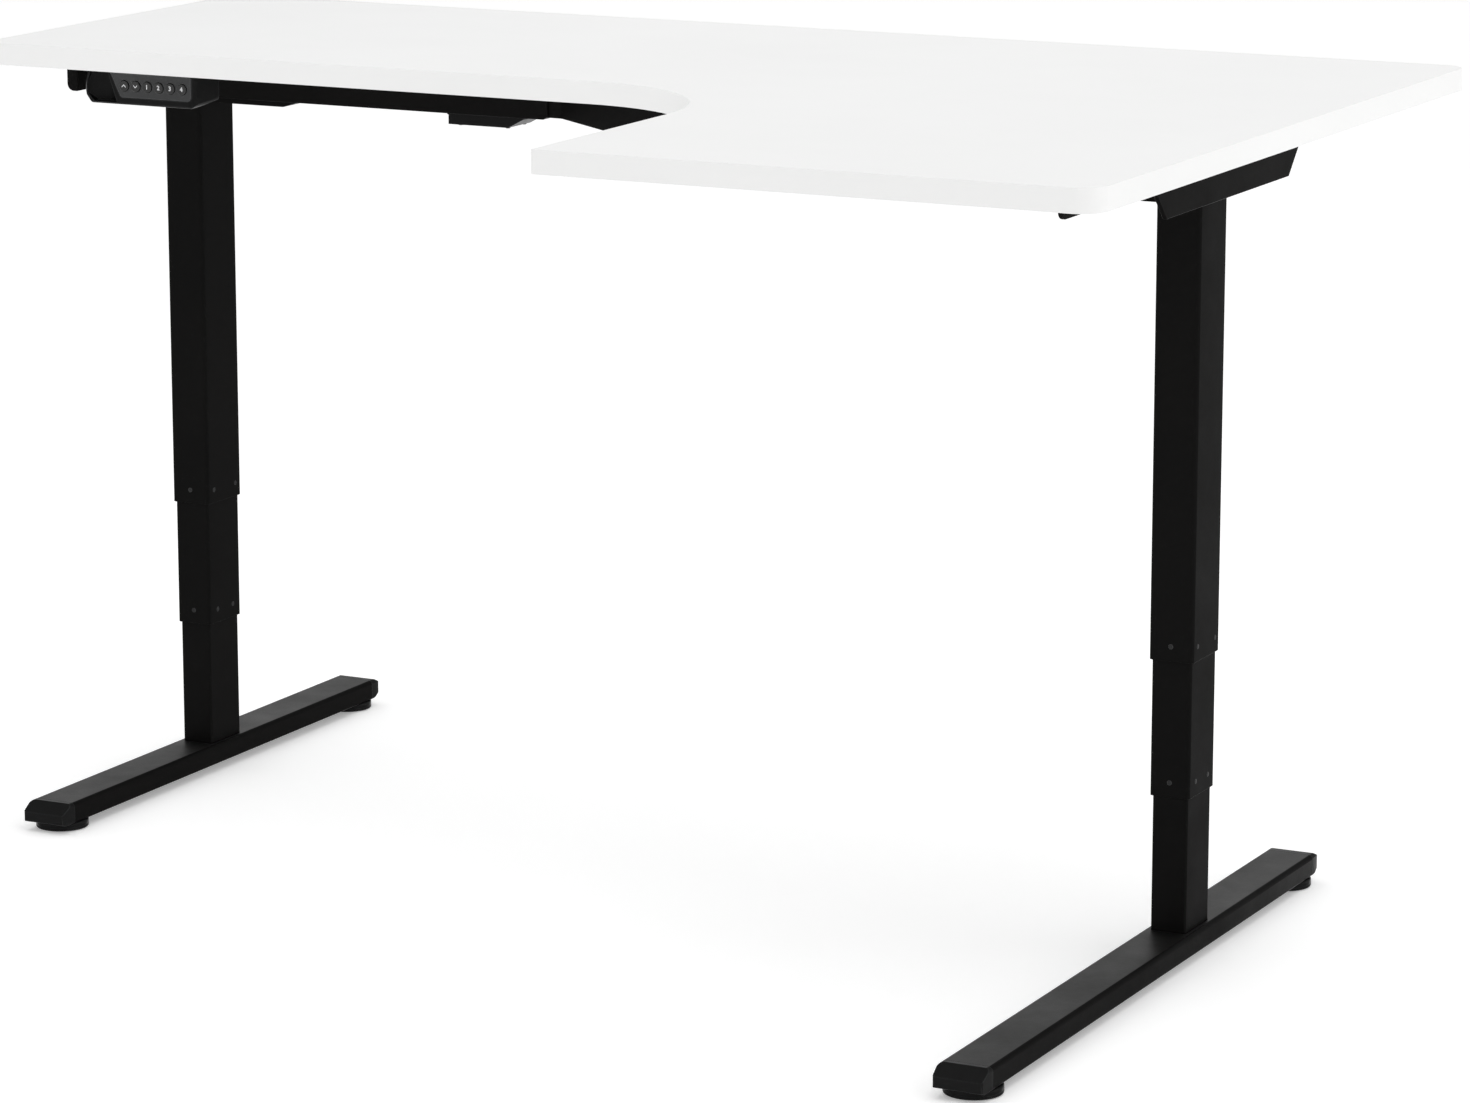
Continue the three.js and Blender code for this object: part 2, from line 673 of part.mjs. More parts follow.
// The mains inlet: a shroud on the box's end, open outwards, with three blades.
function addMainsInlet() {
  const [w, h, rim] = [INLET.width / 2, INLET.height / 2, INLET.wall];
  const [y, z] = [LEFT_Y, CONTROL.bottom + INLET.lift + h];
  const near = CONTROL.x0 - GAP;
  const far = near - INLET.reach;
  const body = block([far, y - w, z - h], [near, y + w, z + h]);
  const socket = block([far - PAST, y - w + rim, z - h + rim], [near - rim, y + w - rim, z + h - rim]);
  let inlet = solid(body).subtract(solid(socket));
  const { places, halfWidth, halfHeight, inset } = BLADE;
  for (const place of places) {
    const middle = y + place;
    const blade = block(
      [far + inset, middle - halfWidth, z - halfHeight],
      [near - PAST, middle + halfWidth, z + halfHeight],
    );
    inlet = inlet.add(solid(blade));
  }
  add(desk, "mains_inlet", inlet, "plastic");
}

// ---- Handset ----
// Its plan outline: a small chamfer on the left, a round right corner, and a right side that flares.
function handsetPlan() {
  const { left, right, flare, leftChamfer, rightRound, depth } = HANDSET;
  const shape = new THREE.Shape();
  shape.moveTo(left + leftChamfer, FACE_Y);
  shape.lineTo(right - rightRound, FACE_Y);
  shape.absarc(right - rightRound, FACE_Y + rightRound, rightRound, -QUARTER, 0);
  shape.lineTo(right + flare, FACE_Y + depth);
  shape.lineTo(left, FACE_Y + depth);
  shape.lineTo(left, FACE_Y + leftChamfer);
  return shape;
}

// Its side outline, read as (Y, Z): the lower front edge is rounded and the underside rises to the back.
function handsetSide() {
  const { depth, chin, rise } = HANDSET;
  const z0 = HANDSET_BOTTOM;
  const [front, back] = [FACE_Y - PAST, FACE_Y + depth + PAST];
  const shape = new THREE.Shape();
  shape.moveTo(front, UNDER);
  shape.lineTo(front, z0 + chin);
  shape.quadraticCurveTo(front, z0, front + chin, z0);
  shape.lineTo(back, z0 + rise);
  shape.lineTo(back, UNDER);
  return shape;
}

// Its front outline, read as (X, Z): the left side leans in above and below its widest place.
function handsetFront() {
  const { left, right, flare, lean, waist, toe, lowRound } = HANDSET;
  const z0 = HANDSET_BOTTOM;
  const side = right + flare;
  const shape = new THREE.Shape();
  shape.moveTo(left + lean, UNDER);
  shape.lineTo(left, waist);
  shape.lineTo(left + toe, z0);
  shape.lineTo(side - lowRound, z0);
  shape.quadraticCurveTo(side, z0, side, z0 + lowRound);
  shape.lineTo(side, UNDER);
  return shape;
}

// The faceplate's outline, read as (X, Z), grown by an offset: its left edge leans.
function plateOutline(offset) {
  const { topLeft, bottomLeft, right, top, bottom, radius } = HANDSET.plate;
  const [x1, z0, z1] = [right + offset, bottom - offset, top + offset];
  const r = radius + offset;
  const lean = (radius * (bottomLeft - topLeft)) / (top - bottom);
  const shape = new THREE.Shape();
  shape.moveTo(topLeft - offset, z1);
  shape.lineTo(bottomLeft - offset - lean, z0 + r);
  shape.quadraticCurveTo(bottomLeft - offset, z0, bottomLeft + r, z0);
  shape.lineTo(x1 - r, z0);
  shape.absarc(x1 - r, z0 + r, r, -QUARTER, 0);
  shape.lineTo(x1, z1);
  return shape;
}

// The hollow in the face to the left of the plate, above the lip.
function handsetScoop() {
  const { left, lip, lean, toe, waist, depth, scoop, plate } = HANDSET;
  const z0 = HANDSET_BOTTOM + lip;
  const bowl = rod(scoop.radius, z0, UNDER + PAST, 36).translate(scoop.x, FACE_Y - scoop.ahead, 0);
  const side = new THREE.Shape();
  side.moveTo(left + scoop.wall, waist);
  side.lineTo(left + toe + scoop.wall, z0);
  side.lineTo(plate.bottomLeft - scoop.rib, z0);
  side.lineTo(plate.topLeft - scoop.rib, UNDER + PAST);
  side.lineTo(left + lean + scoop.wall, UNDER + PAST);
  return solid(bowl).intersect(solid(alongY(side, FACE_Y - depth, FACE_Y + depth)));
}

// A disc or pin along Y at (x, z), from y0 to y1.
function pinAlongY(x, z, radius, y0, y1) {
  return rod(radius, -y1, -y0, 20).rotateX(QUARTER).translate(x, 0, z);
}

function addHandsetHousing() {
  const { left, right, flare, height, depth, plateThickness, cavity } = HANDSET;
  const plan = solid(extrude(handsetPlan(), UNDER - height, UNDER));
  const side = solid(alongX(handsetSide(), left - PAST, right + flare + PAST, 6));
  const face = solid(alongY(handsetFront(), FACE_Y - PAST, FACE_Y + depth + PAST, 6));
  const recess = solid(alongY(plateOutline(GAP), FACE_Y - PAST, FACE_Y + plateThickness + GAP));
  const room = block(
    [cavity.left, FACE_Y - PAST, cavity.bottom],
    [cavity.right, FACE_Y + cavity.depth, cavity.top],
  );
  const housing = plan
    .intersect(side)
    .intersect(face)
    .subtract(handsetScoop())
    .subtract(recess)
    .subtract(solid(room));
  add(desk, "handset_housing", housing, "plastic");
}

function addFaceplate(places) {
  const back = FACE_Y + HANDSET.plateThickness;
  let plate = solid(alongY(plateOutline(0), FACE_Y, back));
  const hole = BUTTON.radius + BUTTON.clearance;
  for (const x of places) {
    plate = plate.subtract(solid(pinAlongY(x, BUTTON.height, hole, FACE_Y - PAST, back + PAST)));
  }
  add(desk, "handset_faceplate", plate, "plate");
}

function addHandsetBoard() {
  const { left, right, bottom, top, depth } = HANDSET.cavity;
  const front = FACE_Y + depth - 2 * BOARD_THICKNESS;
  const board = block(
    [left + GAP, front, bottom + GAP],
    [right - GAP, front + BOARD_THICKNESS, top - GAP],
  );
  add(desk, "handset_board", board, "board");
}

function addButtons(places) {
  const { radius, proud, depth: length, edge, height } = BUTTON;
  const profile = [[0, 0], [radius, 0], [radius, length - edge], [radius - edge, length], [0, length]];
  places.forEach((x, i) => {
    const cap = turned(profile, 20).rotateX(QUARTER).translate(x, FACE_Y - proud + length, height);
    add(desk, `button_${i + 1}`, cap, "button");
  });
}

// ---- The whole desk ----
for (const { side, x, y, inboard } of LEGS) {
  const leg = new THREE.Group();
  leg.position.set(x, y, 0);
  desk.add(leg);
  addFoot(leg, side);
  addColumn(leg, side);
  addBracket(leg, side, inboard);
  addMotorHousing(leg, side, inboard);
  addDrive(leg, side, inboard);
}
const buttonPlaces = Array.from({ length: BUTTON.count }, (_, i) => BUTTON.first + i * BUTTON.pitch);
addLeftArm(LEGS[0]);
addRightArm(LEGS[1]);
addRails();
addControlBox();
addMainsInlet();
addHandsetHousing();
addFaceplate(buttonPlaces);
addHandsetBoard();
addButtons(buttonPlaces);
addDesktop();

export default desk;
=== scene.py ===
import json
import math

import bmesh
import bpy
from mathutils import Matrix, Vector


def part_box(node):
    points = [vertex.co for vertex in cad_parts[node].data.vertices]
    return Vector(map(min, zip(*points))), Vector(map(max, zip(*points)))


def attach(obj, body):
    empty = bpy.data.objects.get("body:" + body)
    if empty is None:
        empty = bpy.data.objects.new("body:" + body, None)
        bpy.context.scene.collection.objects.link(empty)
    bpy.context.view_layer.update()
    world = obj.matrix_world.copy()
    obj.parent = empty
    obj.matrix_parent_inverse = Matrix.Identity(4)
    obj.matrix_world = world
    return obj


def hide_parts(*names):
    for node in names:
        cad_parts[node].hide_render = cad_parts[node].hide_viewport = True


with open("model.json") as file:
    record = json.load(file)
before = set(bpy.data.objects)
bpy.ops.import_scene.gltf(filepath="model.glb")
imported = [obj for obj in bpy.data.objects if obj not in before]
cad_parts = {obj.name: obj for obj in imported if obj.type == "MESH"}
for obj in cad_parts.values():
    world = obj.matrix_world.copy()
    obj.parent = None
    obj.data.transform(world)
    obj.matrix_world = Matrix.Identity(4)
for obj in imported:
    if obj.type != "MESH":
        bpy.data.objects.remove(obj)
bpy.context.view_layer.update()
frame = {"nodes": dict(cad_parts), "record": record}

# Lengths in the builders are millimetres; piece() turns them into metres in the shared frame.
MM = 0.001
GAP = 0.3  # clearance between parts that fit into each other
OVERRUN = 1.0  # how far a cutter runs past the face that it cuts
BODIES = frame["record"]["behaviour"]["bodies"]
BODY_OF = {node: body for body, nodes in BODIES.items() for node in nodes}
SIDES = ("left", "right")


def mm_box(node):
    """Lowest and highest corner of a CAD node, in millimetres."""
    low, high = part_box(node)
    return low / MM, high / MM


# ---- Camera ----
CAMERA_PLACE = (2.7767, -5.23410, 1.64807)
CAMERA_YAW = math.radians(26.690)
CAMERA_PITCH = math.radians(-12.1447)
CAMERA_LENS = 133.60


def make_camera():
    data = bpy.data.cameras.new("camera")
    data.lens = CAMERA_LENS
    data.sensor_width = 36.0
    data.clip_end = 100.0
    camera = bpy.data.objects.new("camera", data)
    camera.location = CAMERA_PLACE
    camera.rotation_euler = (math.pi / 2 + CAMERA_PITCH, 0.0, CAMERA_YAW)
    bpy.context.scene.collection.objects.link(camera)
    bpy.context.scene.camera = camera


# ---- Outlines ----
def fillet(corners, segments=6):
    """A closed outline. Each corner is (u, v) or (u, v, radius)."""
    points = []
    count = len(corners)
    for index, corner in enumerate(corners):
        here = Vector(corner[:2])
        radius = corner[2] if len(corner) > 2 else 0
        if radius <= 0:
            points.append(here)
            continue
        before = (Vector(corners[index - 1][:2]) - here).normalized()
        after = (Vector(corners[(index + 1) % count][:2]) - here).normalized()
        half = before.angle(after) / 2
        centre = here + (before + after).normalized() * (radius / math.sin(half))
        start = here + before * (radius / math.tan(half)) - centre
        end = here + after * (radius / math.tan(half)) - centre
        first = math.atan2(start.y, start.x)
        sweep = (math.atan2(end.y, end.x) - first + math.pi) % (2 * math.pi) - math.pi
        for step in range(segments + 1):
            angle = first + sweep * step / segments
            points.append(centre + radius * Vector((math.cos(angle), math.sin(angle))))
    return points


def rounded_rectangle(width, depth, radius, segments=6, centre=(0, 0)):
    u0, u1 = centre[0] - width / 2, centre[0] + width / 2
    v0, v1 = centre[1] - depth / 2, centre[1] + depth / 2
    corners = [(u0, v0, radius), (u1, v0, radius), (u1, v1, radius), (u0, v1, radius)]
    return fillet(corners, segments)


def circle(u, v, radius, segments=32):
    points = []
    for index in range(segments):
        angle = index * (2 * math.pi / segments)
        points.append(Vector((u + radius * math.cos(angle), v + radius * math.sin(angle))))
    return points


# An outline is read as (X, Y), (Y, Z) or (X, Z) when it runs along Z, X or Y.
PLACE = {
    "Z": lambda u, v, w: (u, v, w),
    "X": lambda u, v, w: (w, u, v),
    "Y": lambda u, v, w: (u, w, v),
}


# ---- Solids ----
def prism(outline, axis, low, high):
    """A solid with the outline as its section, from low to high along the axis."""
    bm = bmesh.new()
    place = PLACE[axis]
    ends = [[bm.verts.new(place(p[0], p[1], w)) for p in outline] for w in (low, high)]
    for end in ends:
        bm.faces.new(end)
    bridge(bm, ends[0], ends[1])
    bmesh.ops.recalc_face_normals(bm, faces=bm.faces)
    return bm


def bridge(bm, first, second):
    count = len(first)
    for i in range(count):
        j = (i + 1) % count
        bm.faces.new((first[i], first[j], second[j], second[i]))


def ring(outer, inner, axis, low, high):
    """A tube with open ends between two outlines that have the same number of points."""
    bm = bmesh.new()
    place = PLACE[axis]
    loops = []
    for outline, w in ((outer, low), (outer, high), (inner, high), (inner, low)):
        loops.append([bm.verts.new(place(p[0], p[1], w)) for p in outline])
    for i in range(4):
        bridge(bm, loops[i], loops[(i + 1) % 4])
    bmesh.ops.recalc_face_normals(bm, faces=bm.faces)
    return bm


def block(low, high):
    base = [(low[0], low[1]), (high[0], low[1]), (high[0], high[1]), (low[0], high[1])]
    return prism(base, "Z", low[2], high[2])


def lathe(profile, segments=48, matrix=None):
    """A turned solid about +Z, from (radius, height) points that start and end on the axis."""
    bm = bmesh.new()
    loops = []
    for radius, height in profile:
        if radius == 0:
            loops.append([bm.verts.new((0, 0, height))])
            continue
        loops.append([bm.verts.new((p.x, p.y, height)) for p in circle(0, 0, radius, segments)])
    for first, second in zip(loops, loops[1:]):
        for i in range(segments):
            j = (i + 1) % segments
            around = ((first, i), (first, j), (second, j), (second, i))
            corners = []
            for loop, place in around:
                vert = loop[place % len(loop)]
                if vert not in corners:
                    corners.append(vert)
            if len(corners) > 2:
                bm.faces.new(corners)
    bmesh.ops.recalc_face_normals(bm, faces=bm.faces)
    if matrix is not None:
        bmesh.ops.transform(bm, matrix=matrix, verts=bm.verts)
    return bm


def arc_profile(centre, radius, start, end, steps=5):
    """Points of an arc in a turned profile, angles in degrees."""
    points = []
    for step in range(steps + 1):
        angle = math.radians(start + (end - start) * step / steps)
        points.append((centre[0] + radius * math.cos(angle), centre[1] + radius * math.sin(angle)))
    return points


def join(first, *others):
    """Several separate closed solids in one mesh."""
    for other in others:
        mesh = bpy.data.meshes.new("joining")
        other.to_mesh(mesh)
        other.free()
        first.from_mesh(mesh)
        bpy.data.meshes.remove(mesh)
    return first


def scratch_object(bm):
    mesh = bpy.data.meshes.new("scratch")
    bm.to_mesh(mesh)
    bm.free()
    made = bpy.data.objects.new("scratch", mesh)
    bpy.context.scene.collection.objects.link(made)
    return made


def boolean(bm, cutter, operation="DIFFERENCE"):
    """The solid after an exact boolean with the cutter. Both are used up."""
    subject = scratch_object(bm)
    tool = scratch_object(cutter)
    modifier = subject.modifiers.new("boolean", "BOOLEAN")
    modifier.operation = operation
    modifier.solver = "EXACT"
    modifier.object = tool
    graph = bpy.context.evaluated_depsgraph_get()
    result = bmesh.new()
    evaluated = subject.evaluated_get(graph)
    result.from_mesh(evaluated.to_mesh())
    evaluated.to_mesh_clear()
    for used in (subject, tool):
        mesh = used.data
        bpy.data.objects.remove(used)
        bpy.data.meshes.remove(mesh)
    bmesh.ops.remove_doubles(result, verts=result.verts, dist=0.001)
    bmesh.ops.dissolve_limit(result, angle_limit=math.radians(0.2), verts=result.verts, edges=result.edges)
    return result


def refined(node):
    """A fresh solid in millimetres from a CAD node, with its flat faces made whole."""
    bm = bmesh.new()
    bm.from_mesh(frame["nodes"][node].data)
    bmesh.ops.scale(bm, vec=(1 / MM,) * 3, verts=bm.verts)
    bmesh.ops.remove_doubles(bm, verts=bm.verts, dist=0.005)
    bmesh.ops.dissolve_limit(bm, angle_limit=math.radians(0.5), verts=bm.verts, edges=bm.edges)
    bmesh.ops.recalc_face_normals(bm, faces=bm.faces)
    return bm


def piece(name, bm, material, body, slot, replaces=(), bevel=0.0, segments=3, angle=30.0):
    """Makes the mesh object of a piece, with its edges eased, on its body."""
    bmesh.ops.scale(bm, vec=(MM,) * 3, verts=bm.verts)
    for face in bm.faces:
        face.smooth = True
    mesh = bpy.data.meshes.new(name)
    bm.to_mesh(mesh)
    bm.free()
    mesh.materials.append(material)
    made = bpy.data.objects.new(name, mesh)
    bpy.context.scene.collection.objects.link(made)
    if bevel:
        ease = made.modifiers.new("ease", "BEVEL")
        ease.width = bevel * MM
        ease.segments = segments
        ease.limit_method = "ANGLE"
        ease.angle_limit = math.radians(angle)
        ease.miter_outer = "MITER_ARC"
    weigh = made.modifiers.new("weigh", "WEIGHTED_NORMAL")
    weigh.keep_sharp = True
    weigh.weight = 80
    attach(made, body)
    if replaces:
        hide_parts(*replaces)
    return made


# ---- Materials ----
class Recipe:
    """Builds one node material a node at a time."""

    def __init__(self, name):
        self.material = bpy.data.materials.new(name)
        self.material.use_nodes = True
        self.tree = self.material.node_tree
        self.surface = self.tree.nodes["Principled BSDF"]
        self.place = self.tree.nodes.new("ShaderNodeTexCoord").outputs["Object"]

    def node(self, kind, settings=None, **sockets):
        made = self.tree.nodes.new(kind)
        for key, value in (settings or {}).items():
            setattr(made, key, value)
        for key, value in sockets.items():
            self.feed(made.inputs[key.replace("_", " ")], value)
        return made

    def feed(self, socket, value):
        if isinstance(value, bpy.types.NodeSocket):
            self.tree.links.new(value, socket)
        else:
            socket.default_value = value

    def noise(self, scale, detail=3.0, roughness=0.5):
        settings = {"Scale": scale, "Detail": detail, "Roughness": roughness}
        return self.node("ShaderNodeTexNoise", Vector=self.place, **settings).outputs["Fac"]

    def cells(self, scale):
        return self.node("ShaderNodeTexVoronoi", Vector=self.place, Scale=scale).outputs["Distance"]

    def span(self, value, low, high, start=0.3, end=0.7):
        """The value as it goes from start to end, turned into low to high."""
        limits = {"From_Min": start, "From_Max": end, "To_Min": low, "To_Max": high}
        return self.node("ShaderNodeMapRange", Value=value, **limits).outputs["Result"]

    def math(self, operation, first, second):
        made = self.tree.nodes.new("ShaderNodeMath")
        made.operation = operation
        self.feed(made.inputs[0], first)
        self.feed(made.inputs[1], second)
        return made.outputs[0]

    def ramp(self, value, stops):
        made = self.tree.nodes.new("ShaderNodeValToRGB")
        self.feed(made.inputs["Fac"], value)
        ramp = made.color_ramp
        ramp.elements[0].position, ramp.elements[0].color = stops[0][0], (*stops[0][1], 1.0)
        ramp.elements[1].position, ramp.elements[1].color = stops[-1][0], (*stops[-1][1], 1.0)
        for position, colour in stops[1:-1]:
            ramp.elements.new(position).color = (*colour, 1.0)
        return made.outputs["Color"]

    def mix(self, factor, first, second):
        """A blend of two colours, by the node's colour sockets: inputs 6 and 7, output 2."""
        made = self.tree.nodes.new("ShaderNodeMix")
        made.data_type = "RGBA"
        self.feed(made.inputs["Factor"], factor)
        self.feed(made.inputs[6], first)
        self.feed(made.inputs[7], second)
        return made.outputs[2]

    def edges(self, radius):
        """1 on an edge and 0 on a flat face: the mask for edge wear and for painted edge highlights."""
        soft = self.node("ShaderNodeBevel", {"samples": 4}, Radius=radius).outputs["Normal"]
        flat = self.tree.nodes.new("ShaderNodeNewGeometry").outputs["Normal"]
        dot = self.tree.nodes.new("ShaderNodeVectorMath")
        dot.operation = "DOT_PRODUCT"
        self.feed(dot.inputs[0], soft)
        self.feed(dot.inputs[1], flat)
        return self.span(dot.outputs["Value"], 1.0, 0.0, start=0.86, end=0.995)

    def sheen(self, head_on, oblique, grazing):
        """A specular level by the angle of view: square on, slanting, and close to edge on."""
        facing = self.node("ShaderNodeLayerWeight", Blend=0.5).outputs["Facing"]
        stops = [(0.15, head_on), (0.45, oblique), (0.65, oblique), (0.73, grazing)]
        return self.ramp(facing, [(position, grey(level)) for position, level in stops])

    def bump(self, height, distance, strength=1.0, under=None):
        made = self.node("ShaderNodeBump", Height=height, Distance=distance, Strength=strength)
        if under is not None:
            self.feed(made.inputs["Normal"], under)
        return made.outputs["Normal"]

    def done(self, colour, roughness, normal, **inputs):
        self.feed(self.surface.inputs["Base Color"], colour)
        self.feed(self.surface.inputs["Roughness"], roughness)
        self.feed(self.surface.inputs["Normal"], normal)
        for key, value in inputs.items():
            self.feed(self.surface.inputs[key.replace("_", " ")], value)
        return self.material


def grey(value, warmth=0.0):
    return (value * (1 + warmth), value, value * (1 - warmth))


def powder_coat():
    """Baked black powder: a fine orange peel, faint dulling, and edges lightened in patches, partly wear
    and partly a painted highlight.
    """
    r = Recipe("black_powder_coat")
    peel = r.noise(1500.0, 2.0)
    waves = r.noise(420.0, 2.0)
    clouds = r.noise(5.5, 4.0, 0.6)
    colour = r.ramp(clouds, [(0.3, grey(0.0030, 0.03)), (0.7, grey(0.0044, 0.05))])
    # Edges lightened in patches: partly edge wear, partly a painted highlight along the rounded edges.
    patches = r.span(r.noise(38.0, 5.0, 0.7), 0.0, 0.55, start=0.42, end=0.75)
    wear_and_edge_highlight = r.math("MULTIPLY", r.edges(0.0012), patches)
    colour = r.mix(wear_and_edge_highlight, colour, (*grey(0.020, 0.02), 1.0))
    dulling = r.span(r.noise(11.0, 6.0, 0.65), 0.40, 0.52)
    speck = r.span(peel, -0.03, 0.03)
    roughness = r.math("ADD", dulling, speck)
    normal = r.bump(peel, 0.00006, 0.5)
    normal = r.bump(waves, 0.00016, 0.35, normal)
    return r.done(colour, roughness, normal, Specular_IOR_Level=r.sheen(0.045, 0.014, 0.24))


def laminate():
    """White melamine: a faint pearl texture with a slow change of tone."""
    r = Recipe("white_laminate")
    pearl = r.noise(900.0, 3.0, 0.6)
    pores = r.cells(1300.0)
    tone = r.ramp(r.noise(2.2, 4.0, 0.55), [(0.3, (0.838, 0.839, 0.836)), (0.7, (0.860, 0.861, 0.858))])
    roughness = r.span(r.noise(7.0, 5.0, 0.6), 0.42, 0.54)
    normal = r.bump(pearl, 0.00005, 0.45)
    normal = r.bump(pores, 0.00003, 0.3, normal)
    return r.done(tone, roughness, normal, Specular_IOR_Level=0.35)


def edge_band():
    """The glued band round the top: a little glossier, with the drawn grain of an extruded strip."""
    r = Recipe("white_edge_band")
    stretched = r.node("ShaderNodeMapping", Vector=r.place, Scale=(1.0, 1.0, 14.0)).outputs["Vector"]
    lines = r.node("ShaderNodeTexNoise", Vector=stretched, Scale=160.0, Detail=3.0).outputs["Fac"]
    tone = r.ramp(r.noise(3.0, 3.0), [(0.3, (0.862, 0.863, 0.858)), (0.7, (0.885, 0.886, 0.881))])
    roughness = r.span(lines, 0.33, 0.44)
    return r.done(tone, roughness, r.bump(lines, 0.00004, 0.35), Specular_IOR_Level=0.4)


def moulded_plastic(name, value, low, high, specular, grain=1100.0):
    """Injection-moulded plastic with a spark-eroded grain, its roughness from low to high."""
    warmth = -0.02
    r = Recipe(name)
    grains = r.cells(grain)
    fine = r.noise(grain * 1.7, 2.0)
    clouds = r.noise(16.0, 4.0, 0.6)
    colour = r.ramp(clouds, [(0.3, grey(value * 0.86, warmth)), (0.7, grey(value * 1.14, warmth))])
    # Edges lightened in patches: a painted highlight along the rounded edges and creases.
    patches = r.span(r.noise(60.0, 4.0, 0.7), 0.25, 0.9)
    painted_edge_highlight = r.math("MULTIPLY", r.edges(0.0018), patches)
    colour = r.mix(painted_edge_highlight, colour, (*grey(value * 1.6 + 0.045, warmth), 1.0))
    roughness = r.span(r.noise(24.0, 5.0, 0.65), low, high)
    normal = r.bump(grains, 0.00004, 0.45)
    normal = r.bump(fine, 0.00003, 0.4, normal)
    level = r.sheen(specular, specular * 0.4, specular * 2.4)
    return r.done(colour, roughness, normal, Specular_IOR_Level=level)


def gloss_key():
    r = Recipe("gloss_black_key")
    colour = r.ramp(r.noise(150.0, 3.0), [(0.3, grey(0.0050)), (0.7, grey(0.0085))])
    smudges = r.span(r.noise(240.0, 4.0, 0.7), 0.20, 0.36)
    return r.done(colour, smudges, r.bump(r.noise(900.0), 0.00003, 0.25), Specular_IOR_Level=0.5)


def white_ink():
    r = Recipe("white_ink")
    colour = r.ramp(r.noise(900.0, 4.0), [(0.3, (0.72, 0.73, 0.74)), (0.7, (0.86, 0.87, 0.88))])
    return r.done(colour, r.span(r.noise(1400.0), 0.45, 0.62), r.bump(r.noise(2600.0), 0.00002, 0.4))


def zinc():
    """Bright zinc plate with faint spangles and rubbed scratches."""
    r = Recipe("zinc_plated_steel")
    spangle = r.cells(260.0)
    tone = r.ramp(spangle, [(0.1, (0.50, 0.51, 0.52)), (0.7, (0.66, 0.66, 0.65))])
    drawn = r.node("ShaderNodeMapping", Vector=r.place, Scale=(1.0, 1.0, 18.0)).outputs["Vector"]
    scratches = r.node("ShaderNodeTexNoise", Vector=drawn, Scale=300.0, Detail=4.0).outputs["Fac"]
    roughness = r.span(scratches, 0.24, 0.42)
    return r.done(tone, roughness, r.bump(scratches, 0.00004, 0.4), Metallic=1.0)


def black_oxide():
    r = Recipe("black_oxide_screws")
    colour = r.ramp(r.noise(320.0, 3.0), [(0.3, grey(0.020)), (0.7, grey(0.040))])
    roughness = r.span(r.noise(500.0, 4.0), 0.30, 0.45)
    return r.done(colour, roughness, r.bump(r.noise(1600.0), 0.00003, 0.4), Metallic=0.6)


def circuit_board():
    """Green solder mask over a grid of raised tracks."""
    r = Recipe("circuit_board")
    tracks = r.node(
        "ShaderNodeTexBrick",
        Vector=r.place,
        Scale=220.0,
        Mortar_Size=0.06,
        Color1=(0.010, 0.060, 0.025, 1.0),
        Color2=(0.014, 0.085, 0.034, 1.0),
        Mortar=(0.045, 0.150, 0.060, 1.0),
    )
    tint = r.mix(r.span(r.noise(40.0), 0.0, 0.4), tracks.outputs["Color"], (0.006, 0.045, 0.02, 1.0))
    return r.done(tint, r.span(r.noise(90.0, 4.0), 0.28, 0.42), r.bump(tracks.outputs["Fac"], 0.00005, 0.5))


def rubber():
    r = Recipe("black_rubber")
    colour = r.ramp(r.noise(70.0, 5.0, 0.7), [(0.3, grey(0.008)), (0.7, grey(0.016))])
    return r.done(colour, r.span(r.noise(130.0, 4.0), 0.62, 0.82), r.bump(r.noise(1300.0), 0.0001, 0.5))


def pale_floor():
    r = Recipe("pale_floor")
    colour = r.ramp(r.noise(0.8, 4.0), [(0.3, (0.93, 0.93, 0.93)), (0.7, (0.95, 0.95, 0.95))])
    normal = r.bump(r.noise(60.0), 0.0002, 0.1)
    glow = {"Specular_IOR_Level": 0.1, "Emission_Color": (1.0, 1.0, 1.0, 1.0), "Emission_Strength": 0.26}
    return r.done(colour, r.span(r.noise(3.0), 0.75, 0.9), normal, **glow)


POWDER = powder_coat()
LAMINATE = laminate()
BAND = edge_band()
PLASTIC = moulded_plastic("black_moulded_plastic", 0.0045, 0.36, 0.48, specular=0.10)
NYLON = moulded_plastic("dark_nylon", 0.014, 0.45, 0.6, specular=0.2, grain=800.0)
FACEPLATE = moulded_plastic("grey_faceplate", 0.036, 0.36, 0.46, specular=0.3, grain=1500.0)
KEY = gloss_key()
INK = white_ink()
ZINC = zinc()
OXIDE = black_oxide()
BOARD = circuit_board()
RUBBER = rubber()

# CAD nodes that stay are inside the columns, housings and boxes.
# They keep their shape and take the material that goes with the end of their name.
CARRIED = {
    "glide": NYLON,
    "nut": NYLON,
    "spindle": ZINC,
    "gearbox": PLASTIC,
    "motor": ZINC,
    "board": BOARD,
    "foot_plate": ZINC,
}


def finish_carried_nodes():
    for name, node in frame["nodes"].items():
        material = next((fit for ending, fit in CARRIED.items() if name.endswith(ending)), POWDER)
        if not node.material_slots:
            node.data.materials.append(material)
        for slot in node.material_slots:
            slot.material = material


# ---- Desktop ----
BAND_THICKNESS = 1.0
BAND_SEAM = 0.08  # between the panel and its band
TOP_CORNER = 28.0
TOP_RETURN_CORNER = 4.0
TOP_INNER_CORNER = 200.0
TOP_MAIN_DEPTH = 555.0
TOP_RETURN_WIDTH = 608.0


def desktop_outline(inset):
    low, high = mm_box("desktop")
    x0, x1 = low.x + inset, high.x - inset
    y0, y1 = low.y + inset, high.y - inset
    notch_x = high.x - TOP_RETURN_WIDTH + inset
    notch_y = high.y - TOP_MAIN_DEPTH + inset
    corner = TOP_CORNER - inset
    corners = [
        (x0, notch_y, corner),
        (notch_x, notch_y, TOP_INNER_CORNER + inset),
        (notch_x, y0, TOP_RETURN_CORNER - inset),
        (x1, y0, corner),
        (x1, y1, corner),
        (x0, y1, corner),
    ]
    return fillet(corners, 20)


